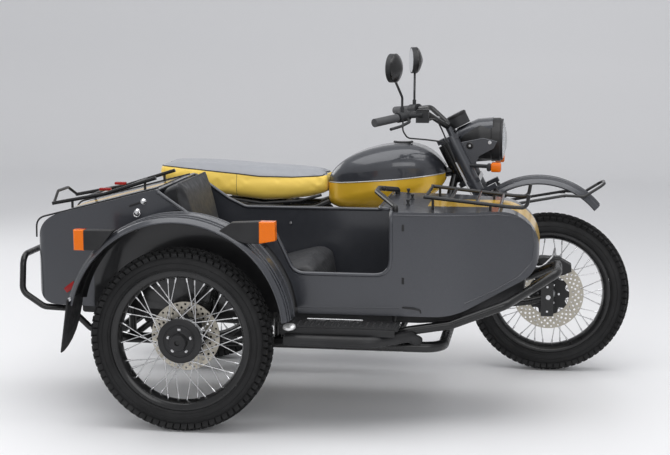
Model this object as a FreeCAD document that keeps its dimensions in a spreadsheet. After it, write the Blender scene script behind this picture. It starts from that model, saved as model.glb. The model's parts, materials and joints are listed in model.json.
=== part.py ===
"""Sidecar motorcycle: a flat-twin motorcycle with a sidecar on its right, three wheels in all.

Model frame: +X forward, +Y left, +Z up.  Every shape is drawn with the front axle centre as its
zero, so heights are measured from the axles, and every finished piece is then placed by
(shift_x, shift_y, tyre_r): the tyres stand on z = 0 and the origin is under the middle of the
whole vehicle.  All lengths are millimetres.
"""
import FreeCAD, Part
import Sketcher
import math
import os
from FreeCAD import Placement, Rotation, Vector

doc = FreeCAD.newDocument("SidecarMotorcycle")

# ---------------------------------------------------------------- driving dimensions
# alias, value, meaning
SIZES = [
    ("wheelbase", 1490, "front axle to rear axle"),
    ("wheel_lead", 174, "sidecar wheel ahead of the rear axle"),
    ("track", 1130, "motorcycle mid plane to sidecar wheel mid plane"),
    ("tyre_r", 338, "tyre outer radius and axle height"),
    ("tyre_half", 53, "half of the tyre width"),
    ("rim_r", 259, "rim flange radius"),
    ("rim_bore_r", 224, "inside of the rim well"),
    ("rim_half", 37, "half of the rim width"),
    ("axle_r", 10, "axle radius"),
    ("axle_play", 0.3, "radial clearance of a turning part on its shaft"),
    ("flange_r", 70, "spoke flange radius"),
    ("flange_half", 34, "hub middle to outside of a spoke flange"),
    ("spoke_r", 2, "spoke radius"),
    ("spoke_count", 20, "spokes modelled in each wheel"),
    ("front_disc_r", 147, "front brake disc radius"),
    ("front_disc_y", 66, "front disc middle, right of the wheel plane"),
    ("small_disc_r", 128, "rear and sidecar brake disc radius"),
    ("small_disc_y", 53, "their middles, left of the wheel plane"),
    ("disc_thick", 5, "brake disc thickness"),
    ("cover_r", 82, "round hub cover of the sidecar wheel"),
    ("rake", 27, "steering axis from the vertical, degrees"),
    ("head_x", 412, "steering axis behind the front axle at head height"),
    ("head_z", 546, "head height above the axles"),
    ("head_half", 85, "half the length of the steering head tube"),
    ("stem_r", 15, "steering stem radius"),
    ("leg_ahead", 50, "fork legs ahead of the steering axis"),
    ("leg_y", 100, "fork leg to mid plane"),
    ("leg_r", 27, "covered fork leg radius"),
    ("lower_leg_r", 17, "lower fork tube radius"),
    ("link_x", 190, "link pivot behind the front axle"),
    ("link_z", 38, "link pivot below the front axle"),
    ("link_y", 118, "link arm to mid plane"),
    ("bar_r", 11.1, "handlebar tube radius"),
    ("grip_r", 17, "grip radius"),
    ("cable_r", 3.2, "outer radius of a control cable"),
    ("bar_half", 388, "half width over the grips"),
    ("frame_r", 16, "main frame tube radius"),
    ("rail_y", 105, "cradle tube to mid plane"),
    ("cradle_z", 88, "cradle tubes below the axles"),
    ("swing_len", 430, "rear swing arm length"),
    ("swing_y", 101, "swing arm tube to mid plane"),
    ("engine_x", 680, "cylinder axis behind the front axle"),
    ("engine_z", 82, "cylinder axis above the axles"),
    ("barrel_r", 70, "finned barrel radius"),
    ("engine_half", 340, "mid plane to the outside of a cylinder head"),
    ("tank_half", 150, "half of the tank width"),
    ("tank_rear", 938, "tank rear end behind the front axle"),
    ("tank_front", 440, "tank front end behind the front axle"),
    ("seat_half", 150, "half of the seat width"),
    ("seat_overhang", 210, "seat rear end behind the rear axle"),
    ("seat_top", 530, "seat top above the axles"),
    ("body_half", 295, "half of the sidecar body width"),
    ("body_gap", 140, "sidecar wheel plane to the body side"),
    ("body_wall", 5, "sidecar body wall"),
    ("body_floor", 80, "body side bottom edge above the axles"),
    ("deck_z", 462, "nose deck above the axles"),
    ("nose_x", 36, "nose tip behind the front axle"),
    ("tail_x", 1925, "tail behind the front axle"),
    ("sill_z", 227, "cockpit entry sill above the axles"),
    ("rim_line", 392, "cockpit side edge above the axles"),
    ("cockpit_front", 570, "cockpit opening front edge behind the front axle"),
    ("trunk_front", 1447, "bulkhead between seat and trunk"),
    ("lid_gap", 5, "clearance round the trunk lid"),
    ("lid_half", 235, "half of the trunk lid width"),
    ("hinge_z", 328, "trunk lid hinge above the axles"),
    ("hinge_pin_r", 4, "trunk lid hinge pin radius"),
    ("side_frame_r", 20, "sidecar frame tube radius"),
    ("side_rail_z", 40, "sidecar frame tubes below the axles"),
    ("side_rail_half", 262, "half of the sidecar frame width"),
    ("strut_r", 13, "strut radius"),
    ("fender_gap", 78, "sidecar tyre to fender crown"),
    ("fender_up", 47, "fender centre above the sidecar axle"),
    ("fender_half", 85, "half of the fender width"),
    ("fender_wall", 3, "fender sheet"),
    ("rack_r", 7, "rack tube radius"),
    ("bumper_r", 12, "rear bumper tube radius"),
    ("guard_r", 17, "front bumper and step tube radius"),
    ("stand_leg", 280, "centre stand leg length"),
]

sheet = doc.addObject("Spreadsheet::Sheet", "Sheet")
for row, (alias, value, meaning) in enumerate(SIZES, start=1):
    sheet.set(f"A{row}", meaning)
    sheet.set(f"B{row}", str(value))
    sheet.setAlias(f"B{row}", alias)
doc.recompute()


class Size:
    """A length that keeps its value and the expression that gives it from the sheet."""

    def __init__(self, value, text):
        self.value = float(value)
        self.text = text

    def _with(self, other, sign, swap=False):
        other = as_size(other)
        left, right = (other, self) if swap else (self, other)
        results = {"+": left.value + right.value, "-": left.value - right.value,
                   "*": left.value * right.value}
        value = left.value / right.value if sign == "/" else results[sign]
        return Size(value, f"({left.text} {sign} {right.text})")

    def __add__(self, other):
        return self._with(other, "+")

    def __radd__(self, other):
        return self._with(other, "+", swap=True)

    def __sub__(self, other):
        return self._with(other, "-")

    def __rsub__(self, other):
        return self._with(other, "-", swap=True)

    def __mul__(self, other):
        return self._with(other, "*")

    def __rmul__(self, other):
        return self._with(other, "*", swap=True)

    def __truediv__(self, other):
        return self._with(other, "/")

    def __neg__(self):
        return Size(-self.value, f"(0 - {self.text})")

    def __float__(self):
        return self.value


def as_size(number):
    return number if isinstance(number, Size) else Size(number, repr(float(number)))


class Dimensions:
    """Every alias of the sheet as an attribute."""


d = Dimensions()
for alias, _value, _meaning in SIZES:
    setattr(d, alias, Size(sheet.get(alias), "Sheet." + alias))

# Places worked out from the driving dimensions, each from the front axle.
rear_x = -d.wheelbase
side_x = rear_x + d.wheel_lead
side_y = -d.track
body_out = side_y + d.body_gap
body_mid = body_out + d.body_half
body_in = body_mid + d.body_half
pivot_x = rear_x + d.swing_len
rear_most = -(d.tail_x + 60) - d.bumper_r
shift_x = -(rear_most + d.tyre_r) / 2
shift_y = -(side_y - d.fender_half + d.bar_half + 25) / 2
shift = (shift_x, shift_y, d.tyre_r)

RAKE = math.radians(float(d.rake))
HEAD = Vector(-float(d.head_x), 0, float(d.head_z))
STEER_UP = Vector(-math.sin(RAKE), 0, math.cos(RAKE))
STEER_AHEAD = Vector(math.cos(RAKE), 0, math.sin(RAKE))

SEAM_TURN = 23
pieces = []


def bind(thing, **sizes):
    """Tie properties to sizes; a double underscore stands for the dot of a sub-property."""
    for name, size in sizes.items():
        size = as_size(size)
        thing.setExpression(name.replace("__", "."), size.text)


def finish(things, label):
    """Put a finished piece, or its like pieces, in its place under its own name for export."""
    placed = doc.addObject("Part::Compound", label)
    placed.Links = things if isinstance(things, list) else [things]
    placed.Label = label
    bind(placed, Placement__Base__x=shift[0], Placement__Base__y=shift[1],
         Placement__Base__z=shift[2])
    pieces.append(placed)


def point(x, y, z):
    return Vector(float(x), float(y), float(z))


def mirrored(points):
    return [(x, -y, z) for x, y, z in points]


# ---------------------------------------------------------------- drawing helpers
def outline(sketch, corners):
    """Closed outline through corners (x, y, radius), each place and radius bound."""
    count = len(corners)
    spots = [Vector(float(x), float(y), 0) for x, y, _r in corners]
    radii = [as_size(r) for _x, _y, r in corners]
    cuts = []
    for i, spot in enumerate(spots):
        back = (spots[i - 1] - spot).normalize()
        ahead = (spots[(i + 1) % count] - spot).normalize()
        half = back.getAngle(ahead) / 2
        reach = radii[i].value / math.tan(half)
        centre = spot + (back + ahead).normalize() * (radii[i].value / math.sin(half))
        cuts.append((spot + back * reach, spot + ahead * reach, centre, back.cross(ahead).z))
    lines = [sketch.addGeometry(Part.LineSegment(cuts[i][1], cuts[(i + 1) % count][0]), False)
             for i in range(count)]
    for i in range(count):
        before, after = lines[i - 1], lines[i]
        entry, leave, centre, turn = cuts[i]
        if radii[i].value > 0:
            ends = (entry, leave) if turn < 0 else (leave, entry)
            angles = [math.atan2((p - centre).y, (p - centre).x) for p in ends]
            circle = Part.Circle(centre, Vector(0, 0, 1), radii[i].value)
            arc = sketch.addGeometry(Part.ArcOfCircle(circle, angles[0], angles[1]), False)
            first, second = (1, 2) if turn < 0 else (2, 1)
            sketch.addConstraint(Sketcher.Constraint("Tangent", before, 2, arc, first))
            sketch.addConstraint(Sketcher.Constraint("Tangent", arc, second, after, 1))
            size = sketch.addConstraint(Sketcher.Constraint("Radius", arc, radii[i].value))
            sketch.setExpression(f"Constraints[{size}]", radii[i].text)
            corner = sketch.addGeometry(Part.Point(spots[i]), True)
            sketch.addConstraint(Sketcher.Constraint("PointOnObject", corner, 1, before))
            sketch.addConstraint(Sketcher.Constraint("PointOnObject", corner, 1, after))
            held = (corner, 1)
        else:
            sketch.addConstraint(Sketcher.Constraint("Coincident", before, 2, after, 1))
            held = (after, 1)
        for kind, place in (("DistanceX", corners[i][0]), ("DistanceY", corners[i][1])):
            place = as_size(place)
            size = sketch.addConstraint(Sketcher.Constraint(kind, held[0], held[1], place.value))
            sketch.setExpression(f"Constraints[{size}]", place.text)


def body_sketch(body, role, corners):
    sketch = body.newObject("Sketcher::SketchObject", body.Name + "_outline")
    plane = [f for f in body.Origin.OriginFeatures if f.Role == role][0]
    sketch.AttachmentSupport = [(plane, "")]
    sketch.MapMode = "FlatFace"
    outline(sketch, corners)
    return sketch


def turned(name, corners, centre=(0, 0, 0), along="y", angle=360.0):
    """A body turned about a line along Y or X through centre: corners are (along, radius, fillet)."""
    body = doc.addObject("PartDesign::Body", name)
    role = "YZ_Plane" if along == "y" else "XZ_Plane"
    sketch = body_sketch(body, role, corners)
    spin = body.newObject("PartDesign::Revolution", name + "_turn")
    spin.Profile = sketch
    spin.ReferenceAxis = (sketch, ["H_Axis"])
    spin.Angle = angle
    body.Tip = spin
    bind(body, Placement__Base__x=centre[0], Placement__Base__y=centre[1],
         Placement__Base__z=centre[2])
    return body


def plate(name, corners, low, high):
    """A body padded across Y from low to high; corners are (x, z, fillet)."""
    body = doc.addObject("PartDesign::Body", name)
    sketch = body_sketch(body, "XZ_Plane", corners)
    pad = body.newObject("PartDesign::Pad", name + "_pad")
    pad.Profile = sketch
    bind(pad, Length=as_size(high) - low)
    body.Tip = pad
    bind(body, Placement__Base__y=high)
    return body


def slab(name, corners, low, high):
    """A body padded upwards from low to high; corners are (x, y, fillet)."""
    body = doc.addObject("PartDesign::Body", name)
    sketch = body_sketch(body, "XY_Plane", corners)
    pad = body.newObject("PartDesign::Pad", name + "_pad")
    pad.Profile = sketch
    bind(pad, Length=as_size(high) - low)
    body.Tip = pad
    bind(body, Placement__Base__z=low)
    return body


def aimed(direction):
    """Turned so that Z lies along a direction, with the seam off the main planes."""
    return Rotation(Vector(0, 0, 1), direction) * Rotation(Vector(0, 0, 1), SEAM_TURN)


def rod(name, radius, start, length, direction):
    """A bound cylinder from start along a direction."""
    cylinder = doc.addObject("Part::Cylinder", name)
    cylinder.Placement = Placement(point(*start), aimed(direction))
    bind(cylinder, Radius=radius, Height=length, Placement__Base__x=start[0],
         Placement__Base__y=start[1], Placement__Base__z=start[2])
    return cylinder


def block(name, low, high):
    """A bound box between two opposite corners."""
    box = doc.addObject("Part::Box", name)
    bind(box, Length=as_size(high[0]) - low[0], Width=as_size(high[1]) - low[1],
         Height=as_size(high[2]) - low[2], Placement__Base__x=low[0],
         Placement__Base__y=low[1], Placement__Base__z=low[2])
    return box


def path_wire(points, bend):
    """Straight runs joined by tangent arcs of the bend radius, smaller where a run is short."""
    spots = [point(*p) for p in points]
    edges = []
    at = spots[0]
    for i in range(1, len(spots) - 1):
        back = spots[i - 1] - spots[i]
        ahead = spots[i + 1] - spots[i]
        half = back.getAngle(ahead) / 2
        room = 0.48 * min(back.Length, ahead.Length)
        reach = min(bend / math.tan(half), room)
        radius = reach * math.tan(half)
        back.normalize()
        ahead.normalize()
        centre = spots[i] + (back + ahead).normalize() * (radius / math.sin(half))
        middle = centre + (spots[i] - centre).normalize() * radius
        entry, leave = spots[i] + back * reach, spots[i] + ahead * reach
        edges.append(Part.LineSegment(at, entry).toShape())
        edges.append(Part.Arc(entry, middle, leave).toShape())
        at = leave
    edges.append(Part.LineSegment(at, spots[-1]).toShape())
    return Part.Wire(edges)


def tube(name, points, radius, bend=40):
    """A bent bar: a bound circle swept along straight runs and arcs."""
    path = doc.addObject("Part::Feature", name + "_path")
    path.Shape = path_wire(points, bend)
    ring = doc.addObject("Part::Circle", name + "_ring")
    bind(ring, Radius=radius)
    ring.Radius = float(radius)
    run = point(*points[1]) - point(*points[0])
    ring.Placement = Placement(point(*points[0]), aimed(run))
    sweep = doc.addObject("Part::Sweep", name)
    sweep.Sections = [ring]
    sweep.Spine = (path, [f"Edge{i + 1}" for i in range(len(path.Shape.Edges))])
    sweep.Solid = True
    sweep.Frenet = False
    sweep.Transition = "Transformed"
    return sweep


def weld(name, things):
    fuse = doc.addObject("Part::MultiFuse", name)
    fuse.Shapes = things
    fuse.Refine = False
    return fuse


def cut(name, base, tool):
    less = doc.addObject("Part::Cut", name)
    less.Base = base
    less.Tool = tool
    less.Refine = False
    return less


def common(name, first, second):
    both = doc.addObject("Part::Common", name)
    both.Base = first
    both.Tool = second
    return both


def loft(name, sections):
    """A solid through wires; each section is (x, half width, bottom, top, corner radius)."""
    wires = []
    for i, (x, half, bottom, top, radius) in enumerate(sections):
        wire = doc.addObject("Sketcher::SketchObject", f"{name}_section{i}")
        outline(wire, [(-half, bottom, radius), (half, bottom, radius),
                       (half, top, radius), (-half, top, radius)])
        wire.Placement = Placement(point(x, 0, 0), Rotation(Vector(1, 1, 1), 120))
        bind(wire, Placement__Base__x=x)
        wires.append(wire)
    skin = doc.addObject("Part::Loft", name)
    skin.Sections = wires
    skin.Solid = True
    skin.Ruled = False
    return skin


def steer_point(up, ahead=0.0, side=0.0):
    """A place given along the steering axis from the head, ahead of the axis, and sideways."""
    spot = HEAD + STEER_UP * float(up) + STEER_AHEAD * float(ahead)
    return (spot.x, float(side), spot.z)


# ---------------------------------------------------------------- wheels
def hub_profile(disc_r, disc_y, cover):
    """Half section of a hub with its brake disc: corners are (along the axle, radius, fillet)."""
    side = 1 if disc_y.value > 0 else -1
    inner, outer = disc_y - side * d.disc_thick / 2, disc_y + side * d.disc_thick / 2
    bore = d.axle_r + d.axle_play
    flange = d.flange_half
    if cover:
        rest = [(-side * (flange - 6), 38, 0), (-side * (flange - 6), d.cover_r, 0),
                (-side * (flange + 4), d.cover_r, 0), (-side * (flange + 8), d.cover_r - 12, 0),
                (-side * (flange + 8), 32, 0), (-side * (flange + 40), 32, 4),
                (-side * (flange + 40), bore, 0)]
    else:
        rest = [(-side * (flange - 6), 38, 0), (-side * (flange - 6), d.flange_r, 0),
                (-side * flange, d.flange_r, 0), (-side * flange, 30, 0),
                (-side * (flange + 30), 30, 0), (-side * (flange + 30), bore, 0)]
    corners = [(side * (flange + 26), bore, 0), (side * (flange + 26), 30, 0),
               (outer, 30, 0), (outer, disc_r, 0), (inner, disc_r, 0), (inner, 42, 0),
               (side * flange, 42, 0), (side * flange, d.flange_r, 0),
               (side * (flange - 6), d.flange_r, 0), (side * (flange - 6), 38, 0)] + rest
    return corners if side > 0 else corners[::-1]


def spokes(name, centre, foot_radii):
    """Crossed spokes from both flanges to the rim well, none touching another."""
    count = int(float(d.spoke_count))
    outer = float(d.rim_bore_r) - 0.4
    solids = []
    for i in range(count):
        side = 1 if i % 2 else -1
        way = 1 if (i // 2) % 2 else -1
        apart = way * (float(d.spoke_r) + 0.25)
        rim_angle = 2 * math.pi * i / count
        foot_angle = rim_angle + math.radians(34 * way)
        inner = float(foot_radii[side]) + 1.6
        foot = Vector(inner * math.cos(foot_angle), side * (float(d.flange_half) - 3 + apart),
                      inner * math.sin(foot_angle))
        tip = Vector(outer * math.cos(rim_angle), side * (9 + apart), outer * math.sin(rim_angle))
        run = tip - foot
        solids.append(Part.makeCylinder(float(d.spoke_r), run.Length, foot, run))
    lace = doc.addObject("Part::Feature", name)
    lace.Shape = Part.makeCompound(solids)
    lace.Placement = Placement(point(*centre), Rotation())
    bind(lace, Placement__Base__x=centre[0], Placement__Base__y=centre[1],
         Placement__Base__z=centre[2])
    return lace


def wheel(prefix, centre, disc_r, disc_y, cover):
    bead, flange_in = d.rim_r - 8.3, d.rim_half - 6
    rim = [(-flange_in, bead, 0), (flange_in, bead, 0), (flange_in, d.rim_r, 0),
           (d.rim_half, d.rim_r, 0), (d.rim_half, d.rim_r - 15, 0), (16, d.rim_bore_r, 0),
           (-16, d.rim_bore_r, 0), (-d.rim_half, d.rim_r - 15, 0), (-d.rim_half, d.rim_r, 0),
           (-flange_in, d.rim_r, 0)]
    seat, over = bead + 0.3, d.rim_r + 0.3
    shoulder = d.tyre_half - 3
    half_tyre = [(flange_in - 0.3, seat, 0), (flange_in - 0.3, over, 0),
                 (d.rim_half + 5, over, 0), (d.tyre_half, over + 34, 14),
                 (shoulder, d.tyre_r - 14, 6), (24, d.tyre_r, 8)]
    tyre = half_tyre + [(-y, r, fillet) for y, r, fillet in reversed(half_tyre)]
    shapes = [("tyre", turned(prefix + "_tyre_body", tyre, centre)),
              ("rim", turned(prefix + "_rim_body", rim, centre)),
              ("hub", turned(prefix + "_hub_body", hub_profile(disc_r, disc_y, cover), centre))]
    for part, shape in shapes:
        finish(shape, f"{prefix}_{part}")
    feet = {-1: d.cover_r if cover else d.flange_r, 1: d.flange_r}
    finish(spokes(prefix + "_lace", centre, feet), prefix + "_spokes")


# name, centre, disc radius, disc place on the axle, round cover on the other side
WHEELS = [
    ("front_wheel", (0, 0, 0), d.front_disc_r, -d.front_disc_y, False),
    ("rear_wheel", (rear_x, 0, 0), d.small_disc_r, d.small_disc_y, False),
    ("sidecar_wheel", (side_x, side_y, 0), d.small_disc_r, d.small_disc_y, True),
]
for prefix, centre, disc_r, disc_y, cover in WHEELS:
    wheel(prefix, centre, disc_r, disc_y, cover)


# ---------------------------------------------------------------- steering and front end
def both(make):
    """One piece for each side: make(side) with side -1 right and +1 left."""
    return [make(side) for side in (-1, 1)]


def steer_rod(name, radius, low, high, ahead=0.0, side=0.0):
    length = as_size(high) - low
    return rod(name, radius, steer_point(low, ahead, side), length, STEER_UP)


def steer_block(name, low, high):
    """A box lying in the steering frame: corners are (up, ahead, side)."""
    sizes = [as_size(b) - a for a, b in zip(low, high)]
    box = doc.addObject("Part::Box", name)
    bind(box, Height=sizes[0], Length=sizes[1], Width=sizes[2])
    corner = steer_point(low[0], low[1], low[2])
    turn = Rotation(Vector(0, 1, 0), -float(d.rake))
    box.Placement = Placement(point(*corner), turn)
    return box


def arched(name, centre, radius, half, drop, wall, start, sweep):
    """A thin mudguard about a cross axle: its edges drop below the crown; angles from +X up."""
    inner = radius - wall
    corners = [(-half, radius - drop, 0), (half * -0.82, radius - 7, 12), (half * -0.3, radius, 20),
               (half * 0.3, radius, 20), (half * 0.82, radius - 7, 12), (half, radius - drop, 0),
               (half - wall, inner - drop, 0), (half * 0.78, inner - 8, 9),
               (half * 0.3, inner, 17), (half * -0.3, inner, 17),
               (half * -0.78, inner - 8, 9), (wall - half, inner - drop, 0)]
    body = turned(name, corners, centre, angle=sweep)
    turn = Rotation(Vector(0, 1, 0), -(start + sweep - 90))
    body.Placement = Placement(body.Placement.Base, turn)
    return body


TOP_YOKE = (92, 112)
LOW_YOKE = (-112, -92)
CROWN = (-165, -145)
LEG_BOTTOM = -187
BAR_UP, BAR_AHEAD = 146, 52
LAMP_Z = 647
HEADLIGHT_R = 87
yoke_half = d.leg_y + 24


def lower_leg(side):
    """From the covered leg down and back to the link pivot beside the tyre."""
    return tube(f"lower_leg{side}", [
        steer_point(-170, d.leg_ahead, side * d.leg_y),
        steer_point(-232, d.leg_ahead, side * (d.leg_y + 4)),
        (-d.link_x - 25, side * d.link_y, 60),
        (-d.link_x, side * d.link_y, -d.link_z)], d.lower_leg_r, bend=60)


def ear(side):
    """Plate from the leg to the headlight."""
    corners = [(-390, 637, 0), (-283, 659, 30), (-226, 646, 12), (-240, 618, 12),
               (-300, 585, 60), (-330, 520, 0), (-375, 540, 0)]
    low, high = (90, 96) if side > 0 else (-96, -90)
    return plate(f"ear{side}", corners, low, high)


fork_parts = [steer_rod("stem", d.stem_r, -105, 105)]
fork_parts += [steer_block("top_yoke", (TOP_YOKE[0], 20, -yoke_half), (TOP_YOKE[1], 80, yoke_half)),
               steer_rod("top_boss", 26, TOP_YOKE[0], TOP_YOKE[1]),
               steer_block("low_yoke", (LOW_YOKE[0], 20, -yoke_half), (LOW_YOKE[1], 80, yoke_half)),
               steer_rod("low_boss", 22, LOW_YOKE[0], LOW_YOKE[1]),
               steer_block("crown", (CROWN[0], 30, -yoke_half), (CROWN[1], 80, yoke_half))]
fork_parts += both(lambda side: steer_rod(f"leg{side}", d.leg_r, LEG_BOTTOM, TOP_YOKE[1],
                                          d.leg_ahead, side * d.leg_y))
fork_parts += both(lambda side: steer_rod(f"riser{side}", 14, TOP_YOKE[1] - 2, BAR_UP,
                                          BAR_AHEAD, side * 50))
fork_parts += both(lambda side: steer_block(
    f"shock_bracket{side}", (CROWN[0], 76, side * 118 - 18), (CROWN[1], 132, side * 118 + 18)))
fork_parts += both(lower_leg)
fork_parts += both(ear)

# Handlebar: grips swept back, rising to a bend, then down to the clamps on the top yoke.
GRIP_END = (-702, -d.bar_half, 740)
BAR_BEND = (-523, -150, 770)
bar_clamp = steer_point(BAR_UP, BAR_AHEAD, -62)
bar_right = [GRIP_END, BAR_BEND, bar_clamp]
handlebar = tube("handlebar_tube", bar_right + mirrored(bar_right)[::-1], d.bar_r, bend=55)
BAR_RUN = {side: (point(*BAR_BEND) - point(*GRIP_END)).normalize() for side in (-1, 1)}
BAR_RUN[1] = Vector(BAR_RUN[-1].x, -BAR_RUN[-1].y, BAR_RUN[-1].z)


def bar_point(side, along, ahead=0.0, up=0.0):
    """A place near the bar: along it from the grip's end, ahead of it and above it."""
    end = point(GRIP_END[0], -side * GRIP_END[1], GRIP_END[2])
    run = BAR_RUN[side]
    forward = Vector(-run.y * side * -1, run.x * side * -1, 0).normalize()
    if forward.x < 0:
        forward = -forward
    spot = end + run * along + forward * ahead + Vector(0, 0, up)
    return (spot.x, spot.y, spot.z)


fork = cut("fork_clear", weld("fork_weld", fork_parts), handlebar)
finish(fork, "fork")
finish(handlebar, "handlebar")
finish(both(lambda side: cut(
    f"grip_clear{side}", rod(f"grip{side}", d.grip_r, bar_point(side, -4), 132, BAR_RUN[side]),
    handlebar)), "grips")


RESERVOIR = bar_point(-1, 205, 62, -28)


def hand_control(side):
    """Switch housing, reservoir on the right, and the lever ahead of the grip."""
    housing = rod(f"housing{side}", 21, bar_point(side, 134), 62, BAR_RUN[side])
    lever = tube(f"lever{side}", [
        bar_point(side, 178, 12, -8), bar_point(side, 150, 52, -16),
        bar_point(side, 90, 60, -24), bar_point(side, 22, 66, -26)], 6, bend=30)
    parts = [housing, lever]
    if side < 0:
        parts.append(tube("reservoir_neck", [bar_point(side, 184, 6), bar_point(side, 208, 72, 4)],
                          10, bend=10))
        parts.append(block("reservoir", (RESERVOIR[0] - 20, RESERVOIR[1] - 4, RESERVOIR[2]),
                           (RESERVOIR[0] + 32, RESERVOIR[1] + 34, RESERVOIR[2] + 48)))
    return cut(f"control_clear{side}", weld(f"control{side}", parts), handlebar)


controls = both(hand_control)
finish(controls, "hand_controls")


def mirror(side):
    """Bent stem on the housing and a round head turned towards the rider."""
    x, y, z = bar_point(side, 160)
    head = (-634, side * 318, 956) if side < 0 else (-612, side * 330, 968)
    foot = cut(f"mirror_foot{side}", rod(f"mirror_base{side}", 8, (x, y, z + 15), 25, Vector(0, 0, 1)),
               controls[(side + 1) // 2])
    stem = tube(f"mirror_stem{side}", [(x, y, z + 30), (x, y, z + 80),
                                       (head[0], head[1], head[2] - 40),
                                       (head[0], head[1], head[2] + 6)], 5, bend=20)
    facing = Vector(-math.cos(math.radians(15)), -side * math.sin(math.radians(15)), 0)
    start = point(*head) - facing * 4
    shell = rod(f"mirror_head{side}", 58, (start.x, start.y, start.z), 20, facing)
    return weld(f"mirror{side}", [foot, stem, shell])


finish(both(mirror), "mirrors")

shell_corners = [(-418, 0, 0), (-418, 26, 0), (-300, HEADLIGHT_R - 1, 30),
                 (-213, HEADLIGHT_R, 0), (-213, 0, 0)]
shell = turned("headlight_bowl", shell_corners, (0, 0, LAMP_Z), along="x")
shell_pin = rod("headlight_pin", 8, (-240, -90, LAMP_Z - 12), 180, Vector(0, 1, 0))
gauge_low = (-381, 0, 704)
shell_weld = weld("headlight_weld", [shell, shell_pin])
finish(cut("headlight_clear", shell_weld, fork), "headlight_shell")
lens_corners = [(-212.7, 0, 0), (-212.7, HEADLIGHT_R - 6, 0), (-203, HEADLIGHT_R - 6, 0),
                (-192, 45, 30), (-187, 0, 0)]
finish(turned("lens", lens_corners, (0, 0, LAMP_Z), along="x"), "headlight_lens")
gauge = rod("gauge_pod", 42, gauge_low, 54, STEER_UP)
finish(cut("gauge_clear", gauge, weld("gauge_neighbours", [shell_weld, fork, handlebar])), "gauge")


def indicator(side):
    stalk = rod(f"stalk{side}", 8, (-335, side * 112, 546), 118, Vector(105, side * 72, 3))
    low, high = sorted((side * 172, side * 236))
    lamp = block(f"flasher{side}", (-252, low, 526), (-196, high, 574))
    return cut(f"indicator_clear{side}", weld(f"indicator{side}", [stalk, lamp]), fork)


finish(both(indicator), "front_indicators")

# Leading link: arms from the pivots to the axle, the axle blocks and the axle itself.
AXLE_BLOCK = ((-30, 112, -80), (22, 146, 62))


def axle_block(side):
    (x0, y0, z0), (x1, y1, z1) = AXLE_BLOCK
    low, high = sorted((side * y0, side * y1))
    return block(f"axle_block{side}", (x0, low, z0), (x1, high, z1))


link_parts = both(lambda side: tube(f"link_arm{side}", [
    (-d.link_x, side * d.link_y, -d.link_z), (-80, side * (d.link_y + 2), -24),
    (0, side * 129, 0)], 15, bend=60))
link_parts += both(axle_block)
link_parts.append(rod("front_axle", d.axle_r, (0, -140, 0), 280, Vector(0, 1, 0)))
link = cut("link_clear", weld("link_weld", link_parts), fork)
finish(link, "leading_link")


def coil_shock(name, low, high, radius, body_radius):
    """Damper body below, spring above, between two eyes."""
    run = point(*high) - point(*low)
    middle = point(*low) + run * 0.42
    spring = rod(name + "_spring", radius, (middle.x, middle.y, middle.z), run.Length * 0.58, run)
    return weld(name, [rod(name + "_body", body_radius, low, run.Length * 0.5, run), spring])


front_shocks = both(lambda side: cut(
    f"front_shock_clear{side}",
    coil_shock(f"front_shock{side}", (-16, side * 129, 55),
               steer_point(CROWN[0], 108, side * 120), 26, 18),
    weld(f"front_shock_seat{side}", [link, fork])))
finish(front_shocks, "front_shocks")

caliper_box = block("caliper_box", (-42, -94, 66), (92, -40, 162))
caliper_arm = block("caliper_arm", (-20, -110.5, 30), (16, -86, 110))
disc_room = rod("disc_room", d.front_disc_r + 6, (0, -d.front_disc_y - 8, 0), 16, Vector(0, 1, 0))
hub_room = rod("hub_room", d.flange_r + 6, (0, -60, 0), 40, Vector(0, 1, 0))
caliper = cut("caliper_cut", weld("caliper_weld", [caliper_box, caliper_arm]),
              weld("caliper_room", [disc_room, hub_room]))
finish(cut("caliper_clear", caliper, link), "front_caliper")

# Cables that turn with the bar, each from its control to where it ends; seat is their end gap.
SEAT = 0.3
cable_start = 21 + SEAT
hose_y, hose_z = RESERVOIR[1] + 15, RESERVOIR[2] + 16
brake_hose = [
    (RESERVOIR[0] + 32 + SEAT, hose_y, hose_z), (-466, hose_y + 6, hose_z - 2), (-450, -134, 690),
    (-394, -136, 560), (-344, -138, 462), (-310, -158, 400), (-190, -168, 240), (-90, -168, 138),
    (-30, -166, 132), (14, -140, 172), (25, -72, 206), (25, -72, 162 + SEAT)]
clutch_cable = [
    bar_point(1, 165, cable_start), bar_point(1, 172, 62, 4), (-478, 154, 742), (-452, 133, 690),
    steer_point(-40, 24, 121), steer_point(LOW_YOKE[1] + SEAT, 24, 120)]
throttle_cable = [
    bar_point(-1, 165, 0, -cable_start), (-604, -258, 700), (-586, -240, 668), (-510, -192, 658),
    (-440, -130, 644), steer_point(-40, 24, -121), steer_point(LOW_YOKE[1] + SEAT, 24, -120)]
finish([tube(name, path, d.cable_r, bend=34) for name, path in (
    ("brake_hose", brake_hose), ("clutch_cable", clutch_cable),
    ("throttle_cable", throttle_cable))], "cables")

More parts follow.
